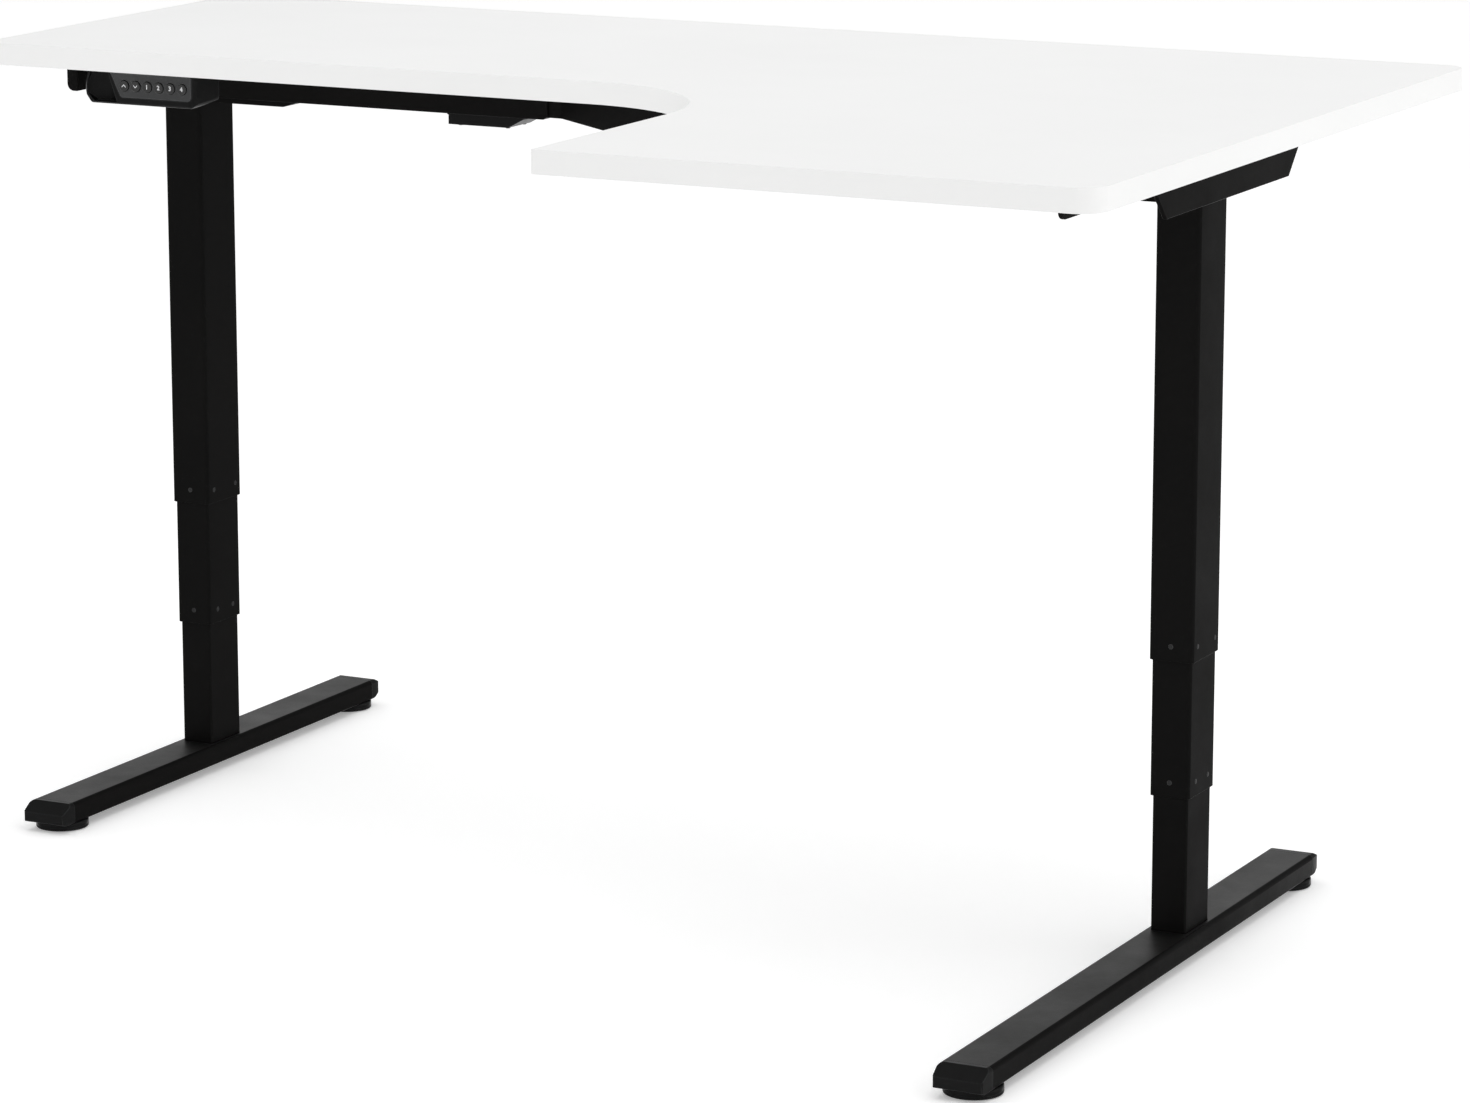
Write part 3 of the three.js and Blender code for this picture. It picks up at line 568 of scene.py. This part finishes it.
def add_desktop():
    low, high = mm_box("desktop")
    core = prism(desktop_outline(BAND_THICKNESS + BAND_SEAM), "Z", low.z, high.z)
    piece("desktop_panel", core, LAMINATE, "desk", "white_laminate", ["desktop"], bevel=0.15, segments=2)
    band = ring(desktop_outline(0), desktop_outline(BAND_THICKNESS), "Z", low.z, high.z)
    piece("desktop_edge_band", band, BAND, "desk", "white_laminate", bevel=0.45)


# ---- Feet ----
RAIL_WALL = 2.0
RAIL_TOP_RADIUS = 5.0
RAIL_BOTTOM_RADIUS = 2.0
RAIL_LEAST_RADIUS = 0.6
COLUMN_SLOT_RADIUS = 2.5
STUD_RADIUS = 4.0


def leg_centre(side):
    low, high = mm_box(f"{side}_outer_tube")
    return (low.x + high.x) / 2, (low.y + high.y) / 2


def foot_section(side, inset):
    low, high = mm_box(f"{side}_foot_rail")
    top = RAIL_TOP_RADIUS - inset
    bottom = max(RAIL_BOTTOM_RADIUS - inset, RAIL_LEAST_RADIUS)
    x0, x1 = low.x + inset, high.x - inset
    z0, z1 = low.z + inset, high.z - inset
    return fillet([(x0, z0, bottom), (x1, z0, bottom), (x1, z1, top), (x0, z1, top)], 8)


def add_foot_rail(side):
    """The foot's tube, with a slot for the column in its top and a hole for each stud in its underside."""
    node = f"{side}_foot_rail"
    low, high = mm_box(node)
    x, y = leg_centre(side)
    rail = ring(foot_section(side, 0), foot_section(side, RAIL_WALL), "Y", low.y, high.y)
    tube_low, tube_high = mm_box(f"{side}_inner_tube")
    width = tube_high.x - tube_low.x + 2 * GAP
    depth = tube_high.y - tube_low.y + 2 * GAP
    slot = rounded_rectangle(width, depth, COLUMN_SLOT_RADIUS, 6, (x, y))
    rail = boolean(rail, prism(slot, "Z", high.z - 2 * RAIL_WALL, high.z + OVERRUN))
    for end in ("front", "rear"):
        pad_low, pad_high = mm_box(f"{side}_leveller_{end}")
        hole = circle(x, (pad_low.y + pad_high.y) / 2, STUD_RADIUS + GAP)
        rail = boolean(rail, prism(hole, "Z", low.z - OVERRUN, low.z + 2 * RAIL_WALL))
    body = f"{side}_base"
    piece(f"{node}_tube", rail, POWDER, body, "black_frame", [node], bevel=0.25, segments=2)


# A cap's side outline: its flat top, the drop of its slope, and how its end face and underside run in.
CAP = {
    "front": {"flat": 6.0, "drop": 10.5, "face_bottom": 2.0, "undercut": 1.0, "heel": 18.0},
    "rear": {"flat": 10.0, "drop": 5.0, "face_bottom": 6.0, "undercut": 0.5, "heel": 4.0},
}
CAP_TAPER = 1.2
CAP_CREASE_RADIUS = 1.5  # where the flat top meets the slope
CAP_BROW_RADIUS = 1.0  # where the slope meets the end face
CAP_CHIN_RADIUS = 2.0  # where the end face meets the underside
CAP_PLAN_RADIUS = 2.5
CAP_PLUG = 5.0
PLUG_ROOT = 1.0
PLUG_CLEARANCE = 1.3
PLUG_LIFT = 0.4
PLUG_BOTTOM_RADIUS = 1.0
PLUG_TOP_RADIUS = 2.0


def cap_nose(side, reach, low, high, flat, drop, face_bottom, undercut, heel):
    """The moulded end of a foot, pointing to -Y with its joint at y = 0, rounded as the rail is."""
    x = (low.x + high.x) / 2
    half = (high.x - low.x) / 2
    profile = fillet(
        [
            (-GAP, low.z),
            (-GAP, high.z),
            (-flat, high.z, CAP_CREASE_RADIUS),
            (-reach, high.z - drop, CAP_BROW_RADIUS),
            (-reach + undercut, low.z + face_bottom, CAP_CHIN_RADIUS),
            (-heel, low.z),
        ],
        5,
    )
    nose = prism(profile, "X", x - half, x + half)
    tip = half - CAP_TAPER
    plan = fillet(
        [
            (x - half, 0),
            (x - half, -flat),
            (x - tip, -reach, CAP_PLAN_RADIUS),
            (x + tip, -reach, CAP_PLAN_RADIUS),
            (x + half, -flat),
            (x + half, 0),
        ],
        6,
    )
    nose = boolean(nose, prism(plan, "Z", low.z - OVERRUN, high.z + OVERRUN), "INTERSECT")
    return boolean(nose, prism(foot_section(side, 0), "Y", -reach - OVERRUN, OVERRUN), "INTERSECT")


def cap_plug(low, high):
    """The part of a cap that goes into the rail, with its root in the nose."""
    clear = RAIL_WALL + PLUG_CLEARANCE
    x0, x1 = low.x + clear, high.x - clear
    z0, z1 = low.z + RAIL_WALL + PLUG_LIFT, high.z - clear
    corners = [
        (x0, z0, PLUG_BOTTOM_RADIUS),
        (x1, z0, PLUG_BOTTOM_RADIUS),
        (x1, z1, PLUG_TOP_RADIUS),
        (x0, z1, PLUG_TOP_RADIUS),
    ]
    return prism(fillet(corners, 4), "Y", -PLUG_ROOT, CAP_PLUG)


def add_cap(side, end):
    low, high = mm_box(f"{side}_foot_rail")
    node = f"{side}_foot_cap_{end}"
    cap_low, cap_high = mm_box(node)
    reach = low.y - cap_low.y if end == "front" else cap_high.y - high.y
    nose = cap_nose(side, reach, low, high, **CAP[end])
    cap = boolean(nose, cap_plug(low, high), "UNION")
    place = Matrix.Translation((0, low.y, 0))
    if end == "rear":
        x = (low.x + high.x) / 2
        half_turn = Matrix.Rotation(math.pi, 4, "Z")
        place = Matrix.Translation((x, high.y, 0)) @ half_turn @ Matrix.Translation((-x, 0, 0))
    bmesh.ops.transform(cap, matrix=place, verts=cap.verts)
    body = f"{side}_base"
    piece(f"{node}_moulding", cap, PLASTIC, body, "black_plastic", [node], bevel=0.5, angle=28.0)


# A levelling pad's turned profile, as heights above the floor and distances in from its rim.
PAD_TOP = 10.0
PAD_FOOT = 0.9
PAD_FOOT_WIDTH = 3.4
PAD_RECESS = 1.6  # the height that the sole reaches up to
PAD_LOWER_ROUND = 1.1
PAD_UPPER_ROUND = 1.6
PAD_GROOVE = (3.6, 3.9, 4.5, 4.8)
PAD_GROOVE_DEPTH = 0.6
PAD_BOSS = 4.5  # from the stud out to the step round it
PAD_STEP = 0.4
PAD_STEP_LEAN = 0.3
PAD_SOCKET = 4.0  # the height of the stud's lower end
STUD_CLEARANCE = 0.1
SOLE_HEIGHT = 1.5
SOLE_INSET = 3.6
SOLE_CHAMFER_WIDTH = 1.0
SOLE_CHAMFER_HEIGHT = 0.5
THREAD_PITCH = 1.25
THREAD_DEPTH = 0.5
THREAD_FLANK = 0.6
THREAD_START = 5.0
THREAD_END = 2.2  # below the stud's upper end
STUD_POINT = 0.8


def pad_profile(radius):
    top = PAD_TOP - GAP
    foot = radius - PAD_FOOT_WIDTH
    groove = radius - PAD_GROOVE_DEPTH
    bore = STUD_RADIUS + STUD_CLEARANCE
    step = STUD_RADIUS + PAD_BOSS
    low_round = (radius - PAD_LOWER_ROUND, PAD_FOOT + PAD_LOWER_ROUND)
    high_round = (radius - PAD_UPPER_ROUND, top - PAD_UPPER_ROUND)
    profile = [(0, PAD_RECESS), (foot, PAD_RECESS), (foot, PAD_FOOT)]
    profile += arc_profile(low_round, PAD_LOWER_ROUND, -90, 0)
    profile += zip((radius, groove, groove, radius), PAD_GROOVE)
    profile += arc_profile(high_round, PAD_UPPER_ROUND, 0, 90)
    profile += [(step, top), (step - PAD_STEP_LEAN, top - PAD_STEP), (bore, top - PAD_STEP)]
    return profile + [(bore, PAD_SOCKET), (0, PAD_SOCKET)]


def stud_profile(top):
    low = PAD_SOCKET + STUD_CLEARANCE
    profile = [(0, low), (STUD_RADIUS - STUD_CLEARANCE, low)]
    height = THREAD_START
    while height < top - THREAD_END:
        profile.append((STUD_RADIUS, height))
        profile.append((STUD_RADIUS - THREAD_DEPTH, height + THREAD_FLANK))
        profile.append((STUD_RADIUS, height + 2 * THREAD_FLANK))
        height += THREAD_PITCH
    return profile + [(STUD_RADIUS - STUD_POINT, top), (0, top)]


def add_leveller(side, end):
    node = f"{side}_leveller_{end}"
    low, high = mm_box(node)
    place = Matrix.Translation(((low.x + high.x) / 2, (low.y + high.y) / 2, 0))
    body = f"{side}_{end}_foot"
    radius = (high.x - low.x) / 2
    pad = lathe(pad_profile(radius), 72, place)
    piece(f"{node}_pad", pad, PLASTIC, body, "black_plastic", [node])
    rim = radius - SOLE_INSET
    profile = [
        (0, 0),
        (rim - SOLE_CHAMFER_WIDTH, 0),
        (rim, SOLE_CHAMFER_HEIGHT),
        (rim, SOLE_HEIGHT),
        (0, SOLE_HEIGHT),
    ]
    piece(f"{node}_sole", lathe(profile, 72, place), RUBBER, body, "black_plastic")
    piece(f"{node}_stud", lathe(stud_profile(high.z), 32, place), ZINC, body, "steel")


# ---- Columns ----
TUBE_WALL = 1.3
TUBE_RADIUS = {"outer_tube": 4.5, "middle_tube": 3.5, "inner_tube": 2.5}
PIN_SPREAD = {"outer_tube": 24.0, "middle_tube": 17.0}  # from a side face's middle to each pin
PIN_LIFT = 16.0  # above the tube's lower end
PIN_RADIUS = 2.8
PIN_PROUD = 0.25
PIN_ROOT = 0.8
PIN_CHAMFER = 0.3
PIN_DIMPLE_RADIUS = 0.9
PIN_DIMPLE_DEPTH = 0.2


def add_tube(side, part, radius):
    node = f"{side}_{part}"
    low, high = mm_box(node)
    centre = ((low.x + high.x) / 2, (low.y + high.y) / 2)
    width, depth = high.x - low.x, high.y - low.y
    outer = rounded_rectangle(width, depth, radius, 8, centre)
    inner = rounded_rectangle(width - 2 * TUBE_WALL, depth - 2 * TUBE_WALL, radius - TUBE_WALL, 8, centre)
    tube = ring(outer, inner, "Z", low.z, high.z)
    body = BODY_OF[node]
    piece(f"{node}_profile", tube, POWDER, body, "black_frame", [node], bevel=0.3, segments=2, angle=40.0)


def turn_up(direction):
    """The rotation that takes +Z to the direction."""
    return Vector((0, 0, 1)).rotation_difference(Vector(direction)).to_matrix().to_4x4()


def pin(place, direction):
    """The round head of a glide's plug, with a dimple in it and its root in the tube's wall."""
    dimple = PIN_PROUD - PIN_DIMPLE_DEPTH
    profile = [
        (0, -PIN_ROOT),
        (PIN_RADIUS, -PIN_ROOT),
        (PIN_RADIUS, 0.0),
        (PIN_RADIUS - PIN_CHAMFER, PIN_PROUD),
        (PIN_DIMPLE_RADIUS, PIN_PROUD),
        (PIN_DIMPLE_RADIUS - PIN_DIMPLE_DEPTH, dimple),
        (0, dimple),
    ]
    return lathe(profile, 24, Matrix.Translation(place) @ turn_up(direction))


def add_pins(side, part, spread):
    node = f"{side}_{part}"
    low, high = mm_box(node)
    x, y = (low.x + high.x) / 2, (low.y + high.y) / 2
    z = low.z + PIN_LIFT
    heads = []
    for way in (-1, 1):
        side_face = high.x if way > 0 else low.x
        for offset in (-spread, spread):
            heads.append(pin((side_face, y + offset, z), (way, 0, 0)))
        end_face = high.y if way > 0 else low.y
        heads.append(pin((x, end_face, z), (0, way, 0)))
    piece(f"{node}_glide_pins", join(*heads), NYLON, BODY_OF[node], "nylon")


# ---- Screws ----
SCREW_ROOT = 1.0  # how far the shank goes in below the head


def screw_head(radius, height, socket):
    """A low round head with a hexagon socket, its seat at z = 0 and its top towards +Z."""
    shank = radius * 0.5
    profile = [
        (0, -SCREW_ROOT),
        (shank, -SCREW_ROOT),
        (shank, 0.0),
        (radius, 0.0),
        (radius, height * 0.35),
        (radius * 0.93, height * 0.75),
        (radius * 0.78, height),
        (0, height),
    ]
    hexagon = prism(circle(0, 0, socket, 6), "Z", height * 0.25, height + OVERRUN)
    return boolean(lathe(profile, 32), hexagon)


def screws(name, places, direction, body, radius, height, socket):
    heads = []
    for place in places:
        head = screw_head(radius, height, socket)
        matrix = Matrix.Translation(place) @ turn_up(direction)
        bmesh.ops.transform(head, matrix=matrix, verts=head.verts)
        heads.append(head)
    piece(name, join(*heads), OXIDE, body, "steel")


# ---- Leg heads, arms and rails ----
def add_steel(node, suffix, **edges):
    """A painted steel part of the desk's frame, with its CAD shape and eased edges."""
    piece(f"{node}_{suffix}", refined(node), POWDER, "desk", "black_frame", [node], **edges)


def add_heads():
    for side in SIDES:
        add_steel(f"{side}_side_bracket", "sheet", bevel=0.6)
        add_steel(f"{side}_motor_housing", "sheet", bevel=0.7)
        add_steel(f"{side}_support_arm", "sheet", bevel=0.7, angle=20.0)
    for rail in ("front_rail_outer", "rear_rail_outer"):
        add_steel(rail, "tube", bevel=0.9, segments=4)


INNER_RAIL_DEPTH = 15.0
BEND_START = -167.0
BEND_END = 150.0
BEND_RADIUS = 14.0


def crank_band(node, inset, overrun):
    """The plan of a cranked rail as a closed outline, its bends rounded."""
    low, high = mm_box(node)
    depth = INNER_RAIL_DEPTH
    y0, y1 = high.y - depth, high.y
    drop = high.y - low.y - depth
    slope = drop / (BEND_END - BEND_START)
    shift = depth * (math.hypot(1, slope) - 1) / slope
    lean = inset * (math.hypot(1, slope) - 1) / slope
    x0, x1 = low.x - overrun, high.x + overrun
    tight, wide = BEND_RADIUS + inset, BEND_RADIUS + depth - inset
    corners = [
        (x0, y0 + inset),
        (BEND_START + lean, y0 + inset, tight),
        (BEND_END + lean, y0 - drop + inset, wide),
        (x1, y0 - drop + inset),
        (x1, y1 - drop - inset),
        (BEND_END + shift - lean, y1 - drop - inset, tight),
        (BEND_START + shift - lean, y1 - inset, wide),
        (x0, y1 - inset),
    ]
    return fillet(corners, 6)


def add_cranked_rails():
    for rail in ("front_rail_inner", "rear_rail_inner"):
        low, high = mm_box(rail)
        bar = prism(crank_band(rail, 0, 0), "Z", low.z, high.z)
        core = prism(crank_band(rail, RAIL_WALL, 2 * OVERRUN), "Z", low.z + RAIL_WALL, high.z - RAIL_WALL)
        tube = boolean(bar, core)
        piece(f"{rail}_tube", tube, POWDER, "desk", "black_frame", [rail], bevel=0.9, segments=4)


# ---- Control box ----
VENT_COUNT = 9
VENT_START = 18.0  # from the box's left end
VENT_PITCH = 6.5
VENT_MIDDLE = 38.0  # above the box's underside
VENT_SIZE = (2.2, 22.0)
VENT_RADIUS = 1.0
VENT_DEPTH = 1.2
BOX_SCREW_LEFT = 12.0
BOX_SCREW_RIGHT = 24.0
BOX_SCREW_SPREAD = 19.0


def add_moulding(name, bm, node, **edges):
    """A black plastic part that is fixed to the desk."""
    piece(name, bm, PLASTIC, "desk", "black_plastic", [node], **edges)


def add_control_box():
    low, high = mm_box("control_box")
    shell = refined("control_box")
    for index in range(VENT_COUNT):
        place = (low.x + VENT_START + index * VENT_PITCH, low.z + VENT_MIDDLE)
        vent = rounded_rectangle(*VENT_SIZE, VENT_RADIUS, 4, place)
        for face in (low.y, high.y):
            shell = boolean(shell, prism(vent, "Y", face - VENT_DEPTH, face + VENT_DEPTH))
    add_moulding("control_box_shell", shell, "control_box", bevel=0.7)
    add_moulding("control_box_cover", refined("control_box_lid"), "control_box_lid", bevel=0.6)
    add_moulding("mains_inlet_shroud", refined("mains_inlet"), "mains_inlet", bevel=0.35, segments=2)
    middle = (low.y + high.y) / 2
    places = []
    for x in (low.x + BOX_SCREW_LEFT, high.x - BOX_SCREW_RIGHT):
        for offset in (-BOX_SCREW_SPREAD, BOX_SCREW_SPREAD):
            places.append((x, middle + offset, low.z))
    screws("control_box_screws", places, (0, 0, -1), "desk", radius=3.0, height=1.4, socket=1.2)


# ---- Handset ----
PLAN_CHAMFER = 4.0
PLAN_EASE = 2.0
PLAN_REAR_RADIUS = 1.0
PLAN_RIGHT_INSET = 2.0
PLAN_RIGHT_RADIUS = 9.0
FRONT_EDGE_RADIUS = 5.0
WAIST_RADIUS = 7.0
LEFT_BOTTOM_RADIUS = 4.0
RIGHT_BOTTOM_RADIUS = 12.0
WAIST_HEIGHT = 15.3  # of the housing's leftmost point, above its underside
LEFT_TOP_INSET = 8.0  # how far the left side leans in above the waist
LEFT_BOTTOM_INSET = 11.5  # and below it
UNDERSIDE_RISE = 7.0  # from the front to the rear
PLATE_SIDE = 13.1  # how far the plate's left edge leans in from top to bottom
PLATE_RADIUS = 5.0
SCOOP_X = 26.5  # from the housing's left end
SCOOP_AHEAD = 11.0
SCOOP_RADIUS = 24.5
SCOOP_LIP = 3.0
SCOOP_WALL = 2.5
SCOOP_PLATE_MARGIN = 5.0
SCOOP_CUT_REACH = 40.0  # farther than the bowl goes, to the front and to the rear
BOARD_ROOM = 1.6  # behind the circuit board
KEY_RADIUS = 6.2
KEY_HOLE = 6.7


def plate_outline(grow):
    low, high = mm_box("handset_faceplate")
    radius = PLATE_RADIUS + grow
    x1, z0, z1 = high.x + grow, low.z - grow, high.z + grow
    left = low.x - grow
    return fillet([(left, z1), (left + PLATE_SIDE, z0, radius), (x1, z0, radius), (x1, z1)], 8)


def housing_block(low, high):
    """The housing before it is hollowed: the overlap of its plan, its side view and its front view."""
    x0, x1 = low.x, high.x
    y0, y1 = low.y, high.y
    z0, z1 = low.z, high.z
    front, rear, top = y0 - OVERRUN, y1 + OVERRUN, z1 + OVERRUN
    plan = [
        (x0 + PLAN_CHAMFER, y0, PLAN_EASE),
        (x1 - PLAN_RIGHT_INSET, y0, PLAN_RIGHT_RADIUS),
        (x1, y1),
        (x0, y1, PLAN_REAR_RADIUS),
        (x0, y0 + PLAN_CHAMFER, PLAN_EASE),
    ]
    side_view = [
        (front, z0, FRONT_EDGE_RADIUS),
        (rear, z0 + UNDERSIDE_RISE),
        (rear, top),
        (front, top),
    ]
    front_view = [
        (x0 + LEFT_TOP_INSET, top),
        (x0, z0 + WAIST_HEIGHT, WAIST_RADIUS),
        (x0 + LEFT_BOTTOM_INSET, z0, LEFT_BOTTOM_RADIUS),
        (x1, z0, RIGHT_BOTTOM_RADIUS),
        (x1, top),
    ]
    body = prism(fillet(plan, 8), "Z", z0, z1)
    body = boolean(body, prism(fillet(side_view, 8), "X", x0 - OVERRUN, x1 + OVERRUN), "INTERSECT")
    return boolean(body, prism(fillet(front_view, 8), "Y", front, rear), "INTERSECT")


def finger_scoop(low, high):
    """The hollow beside the plate: a round bowl that keeps a wall along the housing's left side."""
    floor = low.z + SCOOP_LIP
    top = high.z + 2 * OVERRUN
    round_bowl = circle(low.x + SCOOP_X, low.y - SCOOP_AHEAD, SCOOP_RADIUS, 96)
    bowl = prism(round_bowl, "Z", floor, high.z + OVERRUN)
    left = low.x + SCOOP_WALL
    right = mm_box("handset_faceplate")[0].x - SCOOP_PLATE_MARGIN
    limits = [
        (left, low.z + WAIST_HEIGHT),
        (left + LEFT_BOTTOM_INSET, floor),
        (right + PLATE_SIDE, floor),
        (right, top),
        (left + LEFT_TOP_INSET, top),
    ]
    wedge = prism(limits, "Y", low.y - SCOOP_CUT_REACH, low.y + SCOOP_CUT_REACH)
    return boolean(bowl, wedge, "INTERSECT")


def add_handset_housing():
    low, high = mm_box("handset_housing")
    body = boolean(housing_block(low, high), finger_scoop(low, high))
    front = low.y - OVERRUN
    plate_rear = mm_box("handset_faceplate")[1].y
    body = boolean(body, prism(plate_outline(GAP), "Y", front, plate_rear + GAP))
    board_low, board_high = mm_box("handset_board")
    room_low = (board_low.x - GAP, front, board_low.z - GAP)
    room_high = (board_high.x + GAP, board_high.y + BOARD_ROOM, board_high.z + GAP)
    body = boolean(body, block(room_low, room_high))
    add_moulding("handset_shell", body, "handset_housing", bevel=0.6, angle=24.0)


def key_places():
    """The middle of each key's front, in the order up, down, 1 to 4."""
    places = []
    for index in range(1, 7):
        low, high = mm_box(f"button_{index}")
        places.append(((low.x + high.x) / 2, low.y, (low.z + high.z) / 2))
    return places


def add_faceplate():
    low, high = mm_box("handset_faceplate")
    plate = prism(plate_outline(0), "Y", low.y, high.y)
    for x, y, z in key_places():
        hole = prism(circle(x, z, KEY_HOLE, 48), "Y", low.y - OVERRUN, high.y + OVERRUN)
        plate = boolean(plate, hole)
    piece("handset_plate", plate, FACEPLATE, "desk", "grey_faceplate", ["handset_faceplate"], bevel=0.35)


KEY_LENGTH = 9.0
KEY_ROUND = 0.8
DISH_RADIUS = 5.0
DISH_DEPTH = 0.26
DISH_STEPS = 5


def add_key(index, place):
    """A round key with a rounded rim and a shallow dish in its front."""
    x, y, z = place
    profile = [(0, 0), (KEY_RADIUS, 0)]
    profile += arc_profile((KEY_RADIUS - KEY_ROUND, KEY_LENGTH - KEY_ROUND), KEY_ROUND, 0, 90)
    for step in range(DISH_STEPS, -1, -1):
        out = step / DISH_STEPS
        profile.append((DISH_RADIUS * out, KEY_LENGTH - DISH_DEPTH * (1 - out**2)))
    turn = Matrix.Translation((x, y + KEY_LENGTH, z)) @ Matrix.Rotation(math.pi / 2, 4, "X")
    key = lathe(profile, 48, turn)
    piece(f"key_cap_{index}", key, KEY, f"key_{index}", "button", [f"button_{index}"])


CHEVRON_REACH = 2.5
CHEVRON_RISE = 1.25
CHEVRON_HALF_STROKE = 0.55
DIGIT_SIZE = 7.2
DIGIT_BOLDNESS = 0.14
LEGEND_FRONT = 0.08  # how far the legend's face is behind the key's rim
LEGEND_DEPTH = 0.25


def chevron(x, y, z, way):
    """An arrow head that points up where way is 1 and down where it is -1."""
    half = CHEVRON_HALF_STROKE
    reach, rise = CHEVRON_REACH, CHEVRON_RISE * way
    outline = [(x - reach, z - rise - half), (x, z + rise - half), (x + reach, z - rise - half)]
    outline += [(x + reach, z - rise + half), (x, z + rise + half), (x - reach, z - rise + half)]
    return prism(outline, "Y", y + LEGEND_FRONT, y + LEGEND_FRONT + LEGEND_DEPTH)


def digit(x, y, z, text):
    data = bpy.data.curves.new("digit", "FONT")
    data.body = text
    data.size = DIGIT_SIZE
    data.extrude = LEGEND_DEPTH / 2
    data.offset = DIGIT_BOLDNESS
    data.align_x = "CENTER"
    data.align_y = "CENTER"
    made = bpy.data.objects.new("digit", data)
    bpy.context.scene.collection.objects.link(made)
    graph = bpy.context.evaluated_depsgraph_get()
    evaluated = made.evaluated_get(graph)
    bm = bmesh.new()
    bm.from_mesh(evaluated.to_mesh())
    evaluated.to_mesh_clear()
    bpy.data.objects.remove(made)
    bpy.data.curves.remove(data)
    bmesh.ops.remove_doubles(bm, verts=bm.verts, dist=0.001)
    middle = y + LEGEND_FRONT + LEGEND_DEPTH / 2
    turn = Matrix.Translation((x, middle, z)) @ Matrix.Rotation(math.pi / 2, 4, "X")
    bmesh.ops.transform(bm, matrix=turn, verts=bm.verts)
    return bm


def add_legends():
    for index, (x, y, z) in enumerate(key_places(), 1):
        if index <= 2:
            mark = chevron(x, y, z, 1 if index == 1 else -1)
        else:
            mark = digit(x, y, z, str(index - 2))
        piece(f"key_legend_{index}", mark, INK, f"key_{index}", "button")


# ---- Stage ----
# The sky's brightness for each sine of the angle above the horizon.
SKY = [(0.22, 0.95), (0.40, 0.58), (0.68, 0.62), (0.90, 1.0)]
FLOOR_REACH = 60.0  # metres from the middle to each side
# Each light's place and target in metres, its sides in metres and its power in watts.
LIGHTS = {
    "top_light": {"place": (0.3, 0.3, 4.2), "target": (0.0, 0.2, 0.0), "size": (5.0, 4.0), "power": 48.0},
    "right_light": {"place": (5.2, 0.6, 2.2), "target": (0.6, 0.0, 0.4), "size": (3.0, 3.0), "power": 24.0},
}


def area_light(name, place, target, size, power):
    data = bpy.data.lights.new(name, "AREA")
    data.shape = "RECTANGLE"
    data.size, data.size_y = size
    data.energy = power
    made = bpy.data.objects.new(name, data)
    made.location = place
    made.rotation_mode = "QUATERNION"
    made.rotation_quaternion = (Vector(target) - Vector(place)).to_track_quat("-Z", "Y")
    bpy.context.scene.collection.objects.link(made)


def light_sky(tree):
    """A bright horizon and zenith with a dimmer band between them."""
    direction = tree.nodes.new("ShaderNodeTexCoord").outputs["Generated"]
    parts = tree.nodes.new("ShaderNodeSeparateXYZ")
    tree.links.new(direction, parts.inputs[0])
    ramp = tree.nodes.new("ShaderNodeValToRGB")
    tree.links.new(parts.outputs["Z"], ramp.inputs["Fac"])
    first, last = ramp.color_ramp.elements
    first.position, first.color = SKY[0][0], (*grey(SKY[0][1]), 1.0)
    last.position, last.color = SKY[-1][0], (*grey(SKY[-1][1]), 1.0)
    for position, value in SKY[1:-1]:
        ramp.color_ramp.elements.new(position).color = (*grey(value), 1.0)
    tree.links.new(ramp.outputs["Color"], tree.nodes["Background"].inputs["Color"])


def add_floor():
    bm = bmesh.new()
    bmesh.ops.create_grid(bm, x_segments=8, y_segments=8, size=FLOOR_REACH)
    mesh = bpy.data.meshes.new("floor")
    bm.to_mesh(mesh)
    bm.free()
    mesh.materials.append(pale_floor())
    floor = bpy.data.objects.new("floor", mesh)
    bpy.context.scene.collection.objects.link(floor)


def add_studio():
    world = bpy.data.worlds.new("studio")
    world.use_nodes = True
    light_sky(world.node_tree)
    bpy.context.scene.world = world
    for name, settings in LIGHTS.items():
        area_light(name, **settings)
    bpy.context.scene.view_settings.view_transform = "Standard"


def build():
    make_camera()
    finish_carried_nodes()
    add_desktop()
    for side in SIDES:
        add_foot_rail(side)
        for end in ("front", "rear"):
            add_cap(side, end)
            add_leveller(side, end)
        for part, radius in TUBE_RADIUS.items():
            add_tube(side, part, radius)
        for part, spread in PIN_SPREAD.items():
            add_pins(side, part, spread)
    add_heads()
    add_cranked_rails()
    add_control_box()
    add_handset_housing()
    add_faceplate()
    for index, place in enumerate(key_places(), 1):
        add_key(index, place)
    add_legends()
    add_floor()
    add_studio()


build()
